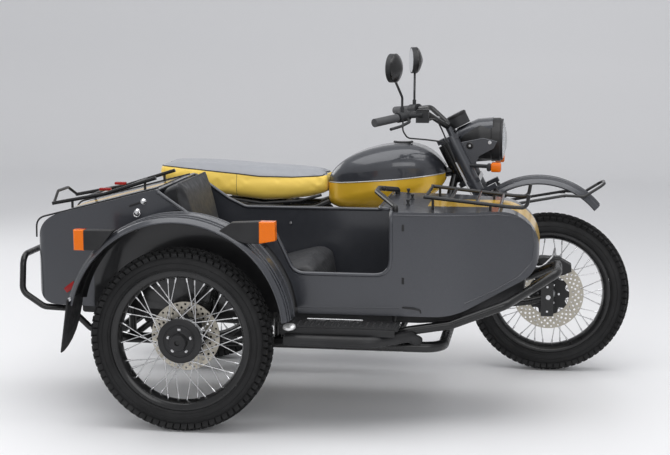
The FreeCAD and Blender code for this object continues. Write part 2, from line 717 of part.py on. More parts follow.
FRONT_GUARD = (-48, 164, 331)
guard_r = as_size(FRONT_GUARD[2] - 338) + d.tyre_r
front_fender_body = arched("front_fender_arch", (FRONT_GUARD[0], 0, FRONT_GUARD[1]), guard_r,
                           68, 27, 3, 40, 152)
fender_stay = block("fender_stay", (-290, -30, 400), (-262, 30, 440))
front_fender = cut("front_fender_clear", weld("front_fender_weld", [front_fender_body, fender_stay]),
                   fork)
finish(front_fender, "front_fender")
bar_side = [(-262, -86, 362), (60, -80, 422), (140, -78, 419), (222, -70, 472)]
fender_bar = tube("fender_bar_tube", bar_side + mirrored(bar_side)[::-1], 6, bend=35)
bar_tabs = [block(f"bar_tab{side}{x}", (x, min(side * 60, side * 80), 414), (x + 22, max(side * 60, side * 80), 420))
            for side in (-1, 1) for x in (40, 118)]
finish(weld("fender_bar_weld", [
    cut("fender_bar_clear", fender_bar, fork),
    cut("bar_tabs_clear", weld("bar_tabs_weld", bar_tabs), front_fender)]), "fender_bar")


# ---------------------------------------------------------------- motorcycle
SEAT_RAIL_Z = 356
rail_end = rear_x - 165
upright_x = pivot_x + 20


def cradle(side):
    """Down tube, lower rail and rear upright of one side."""
    return tube(f"cradle{side}", [
        steer_point(-50, -14, side * 19), (-480, side * 95, 162),
        (-520, side * d.rail_y, -d.cradle_z), (upright_x + 4, side * d.rail_y, -d.cradle_z),
        (upright_x, side * d.rail_y, SEAT_RAIL_Z)], d.frame_r, bend=60)


seat_rail_right = [(-880, -17, 402), (-1000, -100, SEAT_RAIL_Z - 3), (rail_end, -d.rail_y, SEAT_RAIL_Z + 5)]
seat_rail_path = seat_rail_right + mirrored(seat_rail_right)[::-1]
seat_rail = tube("seat_rail", seat_rail_path, 14, bend=50)
pivot_tube = rod("pivot_tube", 18, (pivot_x, -d.rail_y + 2, 22), 2 * d.rail_y - 4, Vector(0, 1, 0))
cradles = both(cradle)
frame_parts = [steer_rod("head_tube", 28, -d.head_half, d.head_half),
               tube("backbone", [steer_point(-36), (-660, 0, 458), (-930, 0, 400)], 20),
               seat_rail, pivot_tube,
               rod("front_cross", 12, (-545, -d.rail_y - 4, -d.cradle_z), 2 * d.rail_y + 8,
                   Vector(0, 1, 0)),
               rod("rear_cross", 12, (pivot_x + 110, -d.rail_y - 4, -d.cradle_z),
                   2 * d.rail_y + 8, Vector(0, 1, 0)),
               rod("stand_pin", 6, (-985, -95, -124), 190, Vector(0, 1, 0))]
frame_parts += cradles
frame_parts += both(lambda side: block(
    f"stand_lug{side}", (-1000, min(side * 89, side * 101), -136), (-970, max(side * 89, side * 101), -80)))
shock_pins = both(lambda side: rod(f"shock_pin{side}", 8, (rear_x + 90, side * 95, SEAT_RAIL_Z),
                                   62, Vector(0, side, 0)))
frame_parts += shock_pins
frame_parts += both(lambda side: tube(f"footpeg{side}", [
    (-870, side * d.rail_y, -d.cradle_z), (-870, side * 150, -58), (-870, side * 240, -58)], 10, bend=25))
frame_parts += [block(f"seat_support{x}", (x, -112, SEAT_RAIL_Z + 10.5), (x + 30, 112, 425))
                for x in (-1130, -1500)]
frame_parts.append(block("fender_hanger", (rail_end - 4, -35, 325), (rail_end + 4, 35, SEAT_RAIL_Z)))
stem_room = steer_rod("stem_room", d.stem_r + d.axle_play, -d.head_half - 8, d.head_half + 8)
seat_sections = [(-d.tank_rear - 2, 100, 412, 508, 34), (-1060, 124, 381, 516, 40), (-1300, d.seat_half - 3, 384, 522, 44),
                  (rear_x - 60, d.seat_half, 412, d.seat_top, 44),
                  (rear_x - d.seat_overhang + 12, d.seat_half - 28, 458, d.seat_top, 34)]
seat = loft("seat_loft", seat_sections)
rear_fender_body = arched("rear_fender_arch", (rear_x, 0, 0), d.tyre_r + 27, 75, 20, 3, 58, 110)
frame = cut("frame_clear", weld("frame_weld", frame_parts),
            weld("frame_room", [stem_room, seat, rear_fender_body]))
finish(frame, "motorcycle_frame")
finish(seat, "rider_seat")
finish(rear_fender_body, "rear_fender")

case_floor = d.frame_r + 0.3 - d.cradle_z
case = block("crankcase", (-d.engine_x - 112, -98, case_floor), (-d.engine_x + 115, 98, 205))
nose = block("engine_front", (-d.engine_x + 110, -55, 0), (-d.engine_x + 158, 55, 150))
gearbox = block("gearbox", (-1000, -78, -60), (-d.engine_x - 110, 78, 150))
sump = block("sump", (-d.engine_x - 90, -84, -100), (-d.engine_x + 90, 84, case_floor + 5))
feet = both(lambda side: block(
    f"engine_foot{side}", (-d.engine_x - 80, min(side * 90, side * 112), case_floor),
    (-d.engine_x + 80, max(side * 90, side * 112), case_floor + 22)))
engine = weld("engine_weld", [case, nose, gearbox, sump] + feet)
finish(engine, "engine_block")


def cylinder(side):
    """Finned barrel and head beside the crankcase."""
    corners = [(98.4, 0, 0), (98.4, d.barrel_r - 14, 0)]
    for i in range(6):
        fin = 112 + 22 * i
        corners += [(fin, d.barrel_r - 14, 0), (fin, d.barrel_r, 0), (fin + 8, d.barrel_r, 0),
                    (fin + 8, d.barrel_r - 14, 0)]
    corners += [(252, d.barrel_r - 14, 0), (252, d.barrel_r + 5, 0),
                (d.engine_half, d.barrel_r + 5, 14), (d.engine_half, 0, 0)]
    if side < 0:
        corners = [(-as_size(y), r, fillet) for y, r, fillet in corners][::-1]
    return turned(f"cylinder{side}", corners, (-d.engine_x, 0, d.engine_z))


barrels = both(cylinder)
finish(barrels, "cylinders")
cylinders = weld("cylinders_weld", barrels)
air_box = block("air_box_shell", (-995, -84, 150.3), (-835, 84, 330))
intakes = both(lambda side: tube(f"intake{side}", [
    (-720, side * 280, 128), (-800, side * 250, 190), (-850, side * 150, 225),
    (-880, side * 75, 225)], 20, bend=40))
finish(cut("intake_clear", weld("intake_weld", [air_box] + intakes), cylinders), "air_intake")


def exhaust(side):
    """Header from the head down and back to the silencer."""
    header = tube(f"header{side}", [
        (-650, side * 300, 15), (-622, side * 300, -60), (-640, side * 215, -122),
        (-900, side * 200, -124), (-1160, side * 225, -100)], 19, bend=45)
    silencer = rod(f"silencer{side}", 42, (-1140, side * 228, -98), 530, Vector(-1, 0, 0.03))
    return cut(f"exhaust_clear{side}", weld(f"exhaust{side}", [header, silencer]), cylinders)


finish(both(exhaust), "exhausts")

# x, half width, bottom, top, corner radius
TANK = [
    (-d.tank_rear, 72, 372, 486, 30), (-884, 118, 352, 548, 56),
    (-760, d.tank_half - 2, 347, 606, 90), (-620, d.tank_half, 362, 627, 95),
    (-515, 122, 398, 602, 76), (-465, 84, 434, 562, 48), (-d.tank_front, 56, 464, 530, 26),
]
tank_loft = loft("tank_loft", TANK)
tunnel = plate("tunnel", [(-960, 300, 0), (-960, 428, 0), (-660, 490, 0), (-380, 546, 0),
                          (-380, 300, 0)], -58, 58)
head_room = steer_rod("head_room", 36, -160, 160)
rail_room = tube("rail_room", seat_rail_path, 14.3, bend=50)
tank = cut("tank_clear", tank_loft, weld("tank_room", [tunnel, head_room, rail_room]))
finish(tank, "fuel_tank")
finish(cut("cap_clear", rod("cap", 36, (-627, 0, 612), 25, Vector(0, 0, 1)), tank), "tank_cap")
cover_corners = [(-1285, 238, 40), (-950, 215, 30), (-948, 340, 20), (-1290, 358, 20)]
finish(both(lambda side: plate(f"cover{side}", cover_corners,
                               *sorted((side * 121.3, side * 133)))), "side_covers")

lamp_x = rear_x - 318
tail_box = block("tail_box", (lamp_x - 46, -42, 150), (lamp_x + 30, 42, 212))
tail_plate = block("tail_plate", (lamp_x - 50, -95, 30), (lamp_x - 45, 95, 160))
fender_disc = rod("rear_fender_disc", d.tyre_r + 27, (rear_x, -200, 0), 400, Vector(0, 1, 0))
finish(cut("tail_lamp_clear", weld("tail_lamp_weld", [tail_box, tail_plate]), fender_disc),
       "tail_lamp")

arm_pins = both(lambda side: rod(f"rear_shock_pin{side}", 8, (rear_x + 40, side * 100, 8), 62,
                                 Vector(0, side, 0)))
arm_parts = arm_pins + both(lambda side: tube(f"arm{side}", [
    (pivot_x, side * 66, 22), (pivot_x - 88, side * d.swing_y, 18), (rear_x, side * d.swing_y, 0)],
    18, bend=60))
arm_parts += [rod("pivot_sleeve", 26, (pivot_x, -86, 22), 172, Vector(0, 1, 0)),
              rod("rear_axle", d.axle_r, (rear_x, -122, 0), 244, Vector(0, 1, 0)),
              rod("final_drive", 85, (rear_x, -127, 0), 57, Vector(0, 1, 0)),
              rod("axle_plate", 30, (rear_x, 86, 0), 36, Vector(0, 1, 0)),
              block("rear_caliper", (rear_x + 50, 60, 60), (rear_x + 120, 88, 118)),
              block("rear_caliper_arm", (rear_x + 20, 86, 10), (rear_x + 100, 96, 80))]
sleeve_room = rod("sleeve_room", 18.3, (pivot_x, -108, 22), 216, Vector(0, 1, 0))
swing_arm = cut("swing_arm_clear", weld("swing_arm_weld", arm_parts), sleeve_room)
finish(swing_arm, "rear_swing_arm")

stand_room = rod("stand_room", 6.5, (-985, -88, -124), 176, Vector(0, 1, 0))
stand_parts = [rod("stand_sleeve", 13, (-985, -85, -124), 170, Vector(0, 1, 0))]
stand_parts += both(lambda side: tube(f"stand_leg{side}", [
    (-985, side * 74, -124), (-985 - d.stand_leg * 0.5, side * 105, -126),
    (-985 - d.stand_leg, side * 122, -132)], 10, bend=60))
finish(cut("stand_clear", weld("stand_weld", stand_parts), stand_room), "centre_stand")


# ---------------------------------------------------------------- sidecar
def inset(corners, depth):
    """The same outline moved inwards by a depth; fillets shrink where it bulges, else grow."""
    spots = [Vector(float(x), float(y), 0) for x, y, _r in corners]
    count = len(spots)
    area = sum(spots[i - 1].cross(spots[i]).z for i in range(count))
    round_way = Vector(0, 0, 1 if area > 0 else -1)
    moved = []
    for i, (x, y, radius) in enumerate(corners):
        into = (spots[i] - spots[i - 1]).normalize()
        leaving = (spots[(i + 1) % count] - spots[i]).normalize()
        first, second = round_way.cross(into), round_way.cross(leaving)
        way = (first + second) * (1 / (1 + first.dot(second)))
        bulge = into.cross(leaving).dot(round_way) > 0
        size = as_size(radius) + (-as_size(depth) if bulge else depth)
        moved.append((as_size(x) + as_size(depth) * way.x, as_size(y) + as_size(depth) * way.y,
                      size if float(radius) > 0 and float(size) > 0 else 0))
    return moved


TUB_SIDE = [
    (-d.tail_x, d.body_floor, 75), (-d.tail_x, 405, 125), (-1450, 528, 0),
    (-d.cockpit_front + 10, d.deck_z, 0), (-d.nose_x, d.deck_z + 2, 150), (-d.nose_x, 234, 105),
    (-345, d.body_floor, 280),
]
TUB_PLAN = [
    (-d.tail_x, body_out + 35, 50), (-1600, body_out, 400), (-330, body_out, 500),
    (-d.nose_x, body_out + 128, 70), (-d.nose_x, body_in - 160, 90), (-420, body_in, 500),
    (-1600, body_in, 400), (-d.tail_x, body_in - 35, 50),
]
LOW, HIGH = 0, 620
RIGHT, LEFT = body_out - 60, body_in + 60


def tub_solid(name, depth):
    """The tub's outside moved inwards by a depth."""
    return common(name, plate(name + "_side", inset(TUB_SIDE, depth), RIGHT, LEFT),
                  slab(name + "_plan", inset(TUB_PLAN, depth), LOW, HIGH))


tub_outer = tub_solid("tub_outer", 0)
tub_inner = tub_solid("tub_inner", d.body_wall)
skin = cut("tub_skin", tub_outer, tub_inner)
cockpit_hole = plate("cockpit_hole", [
    (-1440, 700, 0), (-1440, 519, 0), (-1300, 425, 60), (-1230, d.rim_line, 80),
    (-650, d.rim_line, 60), (-d.cockpit_front - 20, 542, 0), (-d.cockpit_front - 5, 700, 0)][::-1],
    RIGHT, LEFT)
door_hole = plate("door_hole", [
    (-1075, 700, 0), (-1075, 400, 0), (-1000, 385, 40), (-925, d.sill_z, 60),
    (-d.cockpit_front + 3, d.sill_z, 50), (-d.cockpit_front + 3, 700, 0)][::-1],
    RIGHT, body_out + 90)


def lid_zone(name, gap):
    """The part of the skin that belongs to the trunk lid, smaller by a gap all round."""
    return plate(name, [
        (-d.trunk_front - 23 - gap, 640, 0), (-d.trunk_front - 23 - gap, 400 + gap, 0),
        (-1860, d.hinge_z + gap, 0), (-2000, d.hinge_z + gap, 0), (-2000, 640, 0)],
        body_mid - d.lid_half + gap, body_mid + d.lid_half - gap)


bulkhead = common("bulkhead", tub_inner, block(
    "bulkhead_zone", (-d.trunk_front - d.body_wall, RIGHT, LOW), (-d.trunk_front, LEFT, HIGH)))
SEAT_FLOOR = d.body_floor + 32
seat_plinth = block("seat_plinth", (-d.trunk_front - 1, body_mid - 262, d.body_floor + 3),
                    (-835, body_mid + 262, SEAT_FLOOR))
HINGE_X = -d.tail_x - 9
KNUCKLES = (-160, 130)


def hinge_arm(name, y, width, low, high):
    return block(name, (HINGE_X - 5, y, low), (-d.tail_x + 3, y + as_size(width), high))


hinge_lugs = [hinge_arm(f"hinge_lug{y}{i}", body_mid + y + 31 * i - 13, 12, d.hinge_z - 32, d.hinge_z - 1)
              for y in KNUCKLES for i in (0, 1.645)]
hinge_pins = [rod(f"hinge_pin{y}", d.hinge_pin_r, (HINGE_X, body_mid + y - 13, d.hinge_z), 64,
                  Vector(0, 1, 0)) for y in KNUCKLES]
tub_shell = weld("tub_weld", [skin, bulkhead, seat_plinth])
tub_holes = weld("tub_holes", [cockpit_hole, door_hole, lid_zone("lid_hole", 0)])
tub = weld("tub_hinged", [cut("tub_open", tub_shell, tub_holes)] + hinge_lugs + hinge_pins)
finish(tub, "sidecar_tub")

knuckle_parts = []
for y in KNUCKLES:
    knuckle_parts += [rod(f"knuckle{y}", 8, (HINGE_X, body_mid + y + 2, d.hinge_z), 34, Vector(0, 1, 0)),
                      hinge_arm(f"knuckle_arm{y}", body_mid + y + 2, 34, d.hinge_z + 3, d.hinge_z + 34)]
pin_room = [rod(f"pin_room{y}", d.hinge_pin_r + 0.3, (HINGE_X, body_mid + y - 20, d.hinge_z), 78,
                Vector(0, 1, 0)) for y in KNUCKLES]
lid_skin = common("lid_skin", skin, lid_zone("lid_zone", d.lid_gap))
lid = cut("lid_clear", weld("lid_weld", [lid_skin] + knuckle_parts), weld("lid_pin_room", pin_room))
finish(lid, "trunk_lid")


def lid_top(x):
    """Height of the lid's top line at x."""
    return (d.tail_x + x) * (123 / 475) + 405


def rack_rail(side):
    y = body_mid + side * 140
    return tube(f"rack_rail{side}", [
        (-1486, y, lid_top(-1486) + 36), (-1690, y, lid_top(-1690) + 24),
        (-1900, y, lid_top(-1900) + 38)], d.rack_r, bend=60)


rack_posts = [rod(f"rack_post{side}{x}", 5, (x, body_mid + side * 140, lid_top(x + 5) + 0.2),
                  30, Vector(0, 0, 1)) for side in (-1, 1) for x in (-1820, -1530)]
rack_bars = [rod(f"rack_bar{x}", 5, (x, body_mid - 140, lid_top(x) + 30), 280, Vector(0, 1, 0))
             for x in (-1600, -1760)]
rack_back = tube("rack_back", [
    (-1895, body_mid - 140, lid_top(-1895) + 37), (-1905, body_mid - 60, 488),
    (-1905, body_mid + 60, 488), (-1895, body_mid + 140, lid_top(-1895) + 37)], 6, bend=30)
finish(weld("rack_weld", both(rack_rail) + rack_posts + rack_bars + [rack_back]), "trunk_rack")


def hood_line(x):
    """Height of the hood rack's rails at x."""
    return 510 - (x + 459) * (32 / 319)


def hood_rail(side):
    y = body_mid + side * 170 - 35
    return tube(f"hood_rail{side}", [
        (-459, y, hood_line(-459)), (-140, y, hood_line(-140)), (-84, y, 476), (-76, y, 524)],
        d.rack_r, bend=22)


def deck_top(x):
    """Height of the deck's top line at x."""
    return d.deck_z + (d.cockpit_front + x - 10) * (2 / 524)


hood_parts = both(hood_rail)
hood_parts += [rod(f"hood_bar{x}", 6, (x, body_mid - 208, hood_line(x)), 346, Vector(0, 1, 0))
               for x in (-452, -360, -265, -178)]
hood_parts += [rod(f"hood_foot{side}{x}", 5, (x, body_mid + side * 170 - 35, deck_top(x) + 0.2),
                   high, Vector(0, 0, 1)) for side in (-1, 1) for x, high in ((-425, 42), (-215, 24))]
finish(weld("hood_weld", hood_parts), "hood_rack")
finish(tube("grab_handle_tube", [
    (-556, body_mid - 262, deck_top(-556) + 0.3), (-556, body_mid - 262, d.deck_z + 16),
    (-644, body_mid - 95, d.deck_z + 50), (-656, body_mid + 85, d.deck_z + 42),
    (-600, body_mid + 231, d.deck_z + 20), (-600, body_mid + 231, d.deck_z + 3.4)],
    10, bend=50), "grab_handle")

pan_side = plate("pan_side", [
    (-1760, 45, 10), (-1760, 110, 0), (-420, 110, 0), (-80, 300, 0), (-66, 184, 0),
    (-137, 128, 0), (-244, 78, 0), (-321, 57, 0), (-464, 46, 0)], RIGHT, LEFT)
pan_plan = slab("pan_plan", inset(TUB_PLAN, 50), LOW, HIGH)
underpan = cut("pan_clear", common("pan_both", pan_side, pan_plan), tub_outer)

# Frame under the tub: a loop, cross tubes, posts, struts to the motorcycle, wheel arm pivot.
rail_right = body_mid - d.side_rail_half
rail_left = body_mid + d.side_rail_half
rail_z = -d.side_rail_z
LOOP_REAR = -1640
ARM_PIVOT = (-1020, side_y + 90, -20)
arm_y = ARM_PIVOT[1]
side_frame_parts = [
    tube("side_loop", [(LOOP_REAR, rail_left, rail_z), (LOOP_REAR, rail_right, rail_z),
                       (-380, rail_right, rail_z), (-380, rail_left, rail_z),
                       (LOOP_REAR - 15, rail_left, rail_z)], d.side_frame_r, bend=70),
    rod("side_cross", d.side_frame_r, (-950, rail_right, rail_z), 2 * d.side_rail_half,
        Vector(0, 1, 0)),
    tube("arm_pivot", [(ARM_PIVOT[0], rail_right, rail_z), (ARM_PIVOT[0], rail_right - 30, -20),
                       (ARM_PIVOT[0], arm_y - 16, -20)], 12, bend=25),
    tube("shock_post", [(-1225, rail_right, rail_z), (-1225, rail_right - 48, rail_z + 2),
                        (-1225, rail_right - 52, 196)], 10, bend=25),
    rod("side_shock_pin", 8, (-1225, rail_right - 50, 190), 40, Vector(0, -1, 0)),
]
side_frame_parts += [rod(f"post{x}{y}", 14, (x, body_mid + y, rail_z), 72 - rail_z, Vector(0, 0, 1))
                     for x in (-560, -1000, -1560) for y in (-235, 235)]
side_frame_parts += [rod(f"post_tie{x}", 12, (x, rail_right, rail_z), 2 * d.side_rail_half,
                         Vector(0, 1, 0)) for x in (-560, -1000, -1560)]
STRUTS = [
    ("low_front", (-472, -92, -2), (-455, rail_left, rail_z)),
    ("low_rear", (pivot_x, -100, 22), (-1100, rail_left, rail_z)),
    ("high_front", (-430, -52, 340), (-410, rail_left, rail_z)),
    ("high_rear", (-1300, -106, SEAT_RAIL_Z), (-1400, rail_left, rail_z)),
]
side_frame_parts += [tube(f"strut_{name}", [start, end], d.strut_r) for name, start, end in STRUTS]
side_frame = cut("side_frame_clear", weld("side_frame_weld", side_frame_parts),
                 weld("side_frame_room", [cradles[0], pivot_tube, seat_rail, underpan]))
finish(side_frame, "sidecar_frame")
finish(underpan, "sidecar_underpan")

FRONT_GUARD_PATH = [
    (-560, rail_right, rail_z), (-524, rail_right - 16, 20), (-352, body_out + 20, 49),
    (-154, body_out + 30, 126), (-67, body_out + 140, 164), (33, body_mid - 100, 222)]
front_guard = tube("front_guard", FRONT_GUARD_PATH + [
    (x, body_mid * 2 - y, z) for x, y, z in FRONT_GUARD_PATH[::-1]], d.guard_r, bend=45)
REAR_GUARD_PATH = [
    (LOOP_REAR - d.side_frame_r - 0.3, rail_right + 60, rail_z), (-1735, rail_right + 60, -26),
    (-1815, rail_right + 50, 54), (-1905, rail_right + 12, 66), (-d.tail_x - 60, rail_right, 124),
    (-d.tail_x - 60, rail_right + 20, 262)]
rear_guard = tube("rear_guard", REAR_GUARD_PATH + [
    (x, body_mid * 2 - y, z) for x, y, z in REAR_GUARD_PATH[::-1]], d.bumper_r, bend=45)
finish([cut("front_guard_clear", front_guard, side_frame),
        rear_guard], "sidecar_bumpers")

step_parts = [block("step_plate", (-960, body_out - 118, 47), (-530, body_out - 8, 60)),
              tube("step_tube", [(-940, side_y + 10, 7), (-620, side_y + 10, 7),
                                 (-500, rail_right - 40, 7), (-470, rail_right, rail_z + 20)], 21, bend=70)]
step_parts += [tube(f"step_arm{x}", [(x, rail_right, rail_z), (x, rail_right - 50, 10),
                                     (x, side_y + 10, 10)], 11, bend=25) for x in (-900, -640)]
step_parts += [rod(f"step_post{x}", 9, (x, body_out - 60, 0), 50, Vector(0, 0, 1))
               for x in (-900, -640)]
finish(cut("step_clear", weld("step_weld", step_parts),
           weld("step_room", [side_frame, front_guard])), "step_board")

CUSHION_BACK = -1262
finish(plate("cushion", [
    (CUSHION_BACK + 0.3, SEAT_FLOOR + 0.3, 20), (CUSHION_BACK + 0.3, SEAT_FLOOR + 150, 20),
    (-835, SEAT_FLOOR + 150, 40), (-835, SEAT_FLOOR + 0.3, 20)][::-1],
    body_mid - 240, body_mid + 240), "seat_cushion")
finish(plate("backrest", [
    (-d.trunk_front + 0.3, SEAT_FLOOR + 0.3, 0), (-d.trunk_front + 0.3, 515, 0), (-1437, 519.5, 8),
    (-1425, 552, 10), (-1382, 562, 25), (CUSHION_BACK, 262, 60),
    (CUSHION_BACK, SEAT_FLOOR + 0.3, 10)][::-1],
    body_mid - 235, body_mid + 235), "seat_back")

GUARD_X, GUARD_Z = side_x - 4, d.fender_up
side_guard_r = d.tyre_r + d.fender_gap
fender_skin = arched("side_fender_arch", (GUARD_X, side_y, GUARD_Z), side_guard_r, d.fender_half,
                     24, d.fender_wall, 6, 162)
fender_stays = [rod(f"side_fender_stay{x}", 8, (x, body_out + 3, z), 62, Vector(0, -1, 0))
                for x, z in ((-1044, 322), (-1515, 386))]
flap = plate("mud_flap_plate", [(-1721, 150, 0), (-1714, 150, 0), (-1743, -48, 0), (-1750, -48, 0)],
             side_y - 85, side_y + 95)
side_fender = cut("side_fender_clear", weld("side_fender_weld", [fender_skin] + fender_stays),
                  tub_outer)
finish(side_fender, "sidecar_fender")
finish(cut("flap_clear", flap, side_fender), "mud_flap")
LAMPS = [("front", -1170, -955, 372, 442), ("rear", -1690, -1545, 332, 404)]
lamp_room = weld("lamp_room", [side_fender, rod(
    "fender_disc", side_guard_r - 4, (GUARD_X, side_y - 200, GUARD_Z), 400, Vector(0, 1, 0))])
finish([cut(f"{name}_lamp_clear", block(
    f"{name}_lamp", (x0, side_y - 78, z0), (x1, side_y - 38, z1)), lamp_room)
    for name, x0, x1, z0, z1 in LAMPS], "fender_lamps")

side_arm_parts = [
    tube("side_arm", [(ARM_PIVOT[0] + 4, arm_y, -20), (-1170, arm_y, -12), (side_x, arm_y, 0)],
         14, bend=60),
    rod("side_axle", d.axle_r, (side_x, side_y - 66, 0), 172, Vector(0, 1, 0)),
    rod("side_sleeve", 22, (ARM_PIVOT[0], arm_y - 15, -20), 30, Vector(0, 1, 0)),
    rod("side_arm_pin", 8, (-1300, arm_y, 4), 26, Vector(0, 1, 0)),
]
side_arm = cut("side_arm_clear", weld("side_arm_weld", side_arm_parts), side_frame)
finish(side_arm, "sidecar_swing_arm")

rear_shocks = both(lambda side: cut(
    f"rear_shock_clear{side}",
    coil_shock(f"rear_shock{side}", (rear_x + 40, side * 147, 8),
               (rear_x + 90, side * 147, SEAT_RAIL_Z), 29, 20),
    weld(f"rear_shock_seat{side}", [arm_pins[(side + 1) // 2], shock_pins[(side + 1) // 2]])))
rear_shocks.append(cut("side_shock_clear", coil_shock(
    "side_shock", (-1300, arm_y + 18, 4), (-1225, arm_y + 18, 190), 24, 17),
    weld("side_shock_seat", [side_arm, side_frame])))
finish(rear_shocks, "rear_shocks")


# ---------------------------------------------------------------- end: check and write
doc.recompute()
for thing in doc.Objects:
    bad = [state for state in thing.State if state in ("Invalid", "Error")]
    if bad:
        raise RuntimeError(f"{thing.Name} ({thing.Label}) is {bad}")
os.makedirs("parts", exist_ok=True)
for piece in pieces:
    shape = piece.Shape
    if shape.isNull() or not shape.isValid() or not shape.Solids:
        raise RuntimeError(f"{piece.Label} has no valid solid")
    shape.exportStep(os.path.join("parts", piece.Label + ".step"))
    print(f"{piece.Label}: {len(shape.Solids)} solids, {shape.Volume / 1e6:.3f} litres")
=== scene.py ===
"""Looks of the sidecar motorcycle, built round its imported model.

Metres, +X ahead, +Y left, +Z up.
"""
import json
import math

import bmesh
import bpy
from mathutils import Matrix, Vector
from mathutils.bvhtree import BVHTree

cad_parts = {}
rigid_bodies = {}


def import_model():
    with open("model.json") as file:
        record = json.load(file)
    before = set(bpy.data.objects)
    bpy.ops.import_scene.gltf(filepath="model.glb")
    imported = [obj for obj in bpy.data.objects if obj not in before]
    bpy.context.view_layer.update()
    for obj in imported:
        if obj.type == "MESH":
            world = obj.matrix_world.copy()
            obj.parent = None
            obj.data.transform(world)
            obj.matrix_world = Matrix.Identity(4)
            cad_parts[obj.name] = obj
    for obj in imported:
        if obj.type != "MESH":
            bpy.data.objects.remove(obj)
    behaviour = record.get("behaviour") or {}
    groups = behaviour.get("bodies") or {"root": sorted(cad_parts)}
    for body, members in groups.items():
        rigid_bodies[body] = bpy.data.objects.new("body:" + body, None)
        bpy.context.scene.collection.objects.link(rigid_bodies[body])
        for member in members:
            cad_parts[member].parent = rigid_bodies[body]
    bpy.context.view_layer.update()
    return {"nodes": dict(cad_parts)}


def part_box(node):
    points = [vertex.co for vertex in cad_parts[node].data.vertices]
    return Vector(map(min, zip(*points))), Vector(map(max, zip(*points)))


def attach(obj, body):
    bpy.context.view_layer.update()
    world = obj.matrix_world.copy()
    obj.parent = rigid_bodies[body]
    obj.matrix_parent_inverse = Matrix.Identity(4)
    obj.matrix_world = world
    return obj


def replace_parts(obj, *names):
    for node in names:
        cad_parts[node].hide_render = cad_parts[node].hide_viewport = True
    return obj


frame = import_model()
MM = 0.001
TAU = 2 * math.pi
X, Y, Z = Vector((1, 0, 0)), Vector((0, 1, 0)), Vector((0, 0, 1))


def middle(node):
    """The middle of a node's box."""
    low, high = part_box(node)
    return (low + high) / 2


FRONT_AXLE = middle("front_wheel_tyre")
REAR_AXLE = middle("rear_wheel_tyre")
SIDE_AXLE = middle("sidecar_wheel_tyre")


def at(x, y, z):
    """A place given in millimetres from the front axle's middle."""
    return FRONT_AXLE + Vector((x, y, z)) * MM


# ------------------------------------------------------------------ materials
def new_material(name):
    """A material, its tree and its shader."""
    material = bpy.data.materials.new(name)
    material.use_nodes = True
    tree = material.node_tree
    return material, tree, tree.nodes["Principled BSDF"]


def feed(tree, value, socket):
    """Links an output to a socket, or sets the socket to a plain value."""
    if isinstance(value, bpy.types.NodeSocket):
        tree.links.new(value, socket)
    else:
        socket.default_value = value


def wire(tree, made, **sockets):
    """Feeds the named sockets of a node."""
    for key, value in sockets.items():
        feed(tree, value, made.inputs[key.replace("_", " ")])
    return made


def node(tree, kind, **sockets):
    """A new node with its named sockets fed."""
    return wire(tree, tree.nodes.new(kind), **sockets)


def coordinates(tree, stretch=(1, 1, 1)):
    """Object coordinates, closer together along an axis that is stretched."""
    place = node(tree, "ShaderNodeTexCoord").outputs["Object"]
    return node(tree, "ShaderNodeMapping", Scale=stretch, Vector=place).outputs["Vector"]


def noise(tree, scale, detail=3, stretch=(1, 1, 1)):
    """Soft noise, 0 to 1."""
    return node(tree, "ShaderNodeTexNoise", Scale=scale, Detail=detail,
                Vector=coordinates(tree, stretch)).outputs["Fac"]


def spread(tree, value, low, high, start=0.3, end=0.7):
    """Maps a 0..1 pattern onto low..high."""
    made = node(tree, "ShaderNodeMapRange", From_Min=start, From_Max=end, To_Min=low, To_Max=high,
                Value=value)
    return made.outputs["Result"]


def mixed(tree, fac, first, second):
    """The first colour where fac is 0, the second where it is 1."""
    made = node(tree, "ShaderNodeMix")
    made.data_type = "RGBA"
    for socket, value in ((made.inputs[6], first), (made.inputs[7], second)):
        feed(tree, (*value, 1) if isinstance(value, (tuple, list)) else value, socket)
    feed(tree, fac, made.inputs["Factor"])
    return made.outputs[2]


def bump(tree, shader, height, strength, distance):
    """Raises a pattern on the surface."""
    made = node(tree, "ShaderNodeBump", Strength=strength, Distance=distance, Height=height)
    wire(tree, shader, Normal=made.outputs["Normal"])


def math_node(tree, operation, first, second=0):
    """One sum on values or outputs."""
    made = node(tree, "ShaderNodeMath")
    made.operation = operation
    for socket, value in zip(made.inputs, (first, second)):
        feed(tree, value, socket)
    return made.outputs[0]


def axes(tree):
    """Object X, Y and Z in millimetres from the front axle."""
    place = node(tree, "ShaderNodeTexCoord").outputs["Object"]
    parts = node(tree, "ShaderNodeSeparateXYZ", Vector=place)
    return [math_node(tree, "MULTIPLY", math_node(tree, "SUBTRACT", part, start), 1 / MM)
            for part, start in zip(parts.outputs, FRONT_AXLE)]


def between(tree, value, low, high):
    """1 where low < value < high, else 0."""
    over = math_node(tree, "GREATER_THAN", value, low)
    under = math_node(tree, "LESS_THAN", value, high)
    return math_node(tree, "MULTIPLY", over, under)


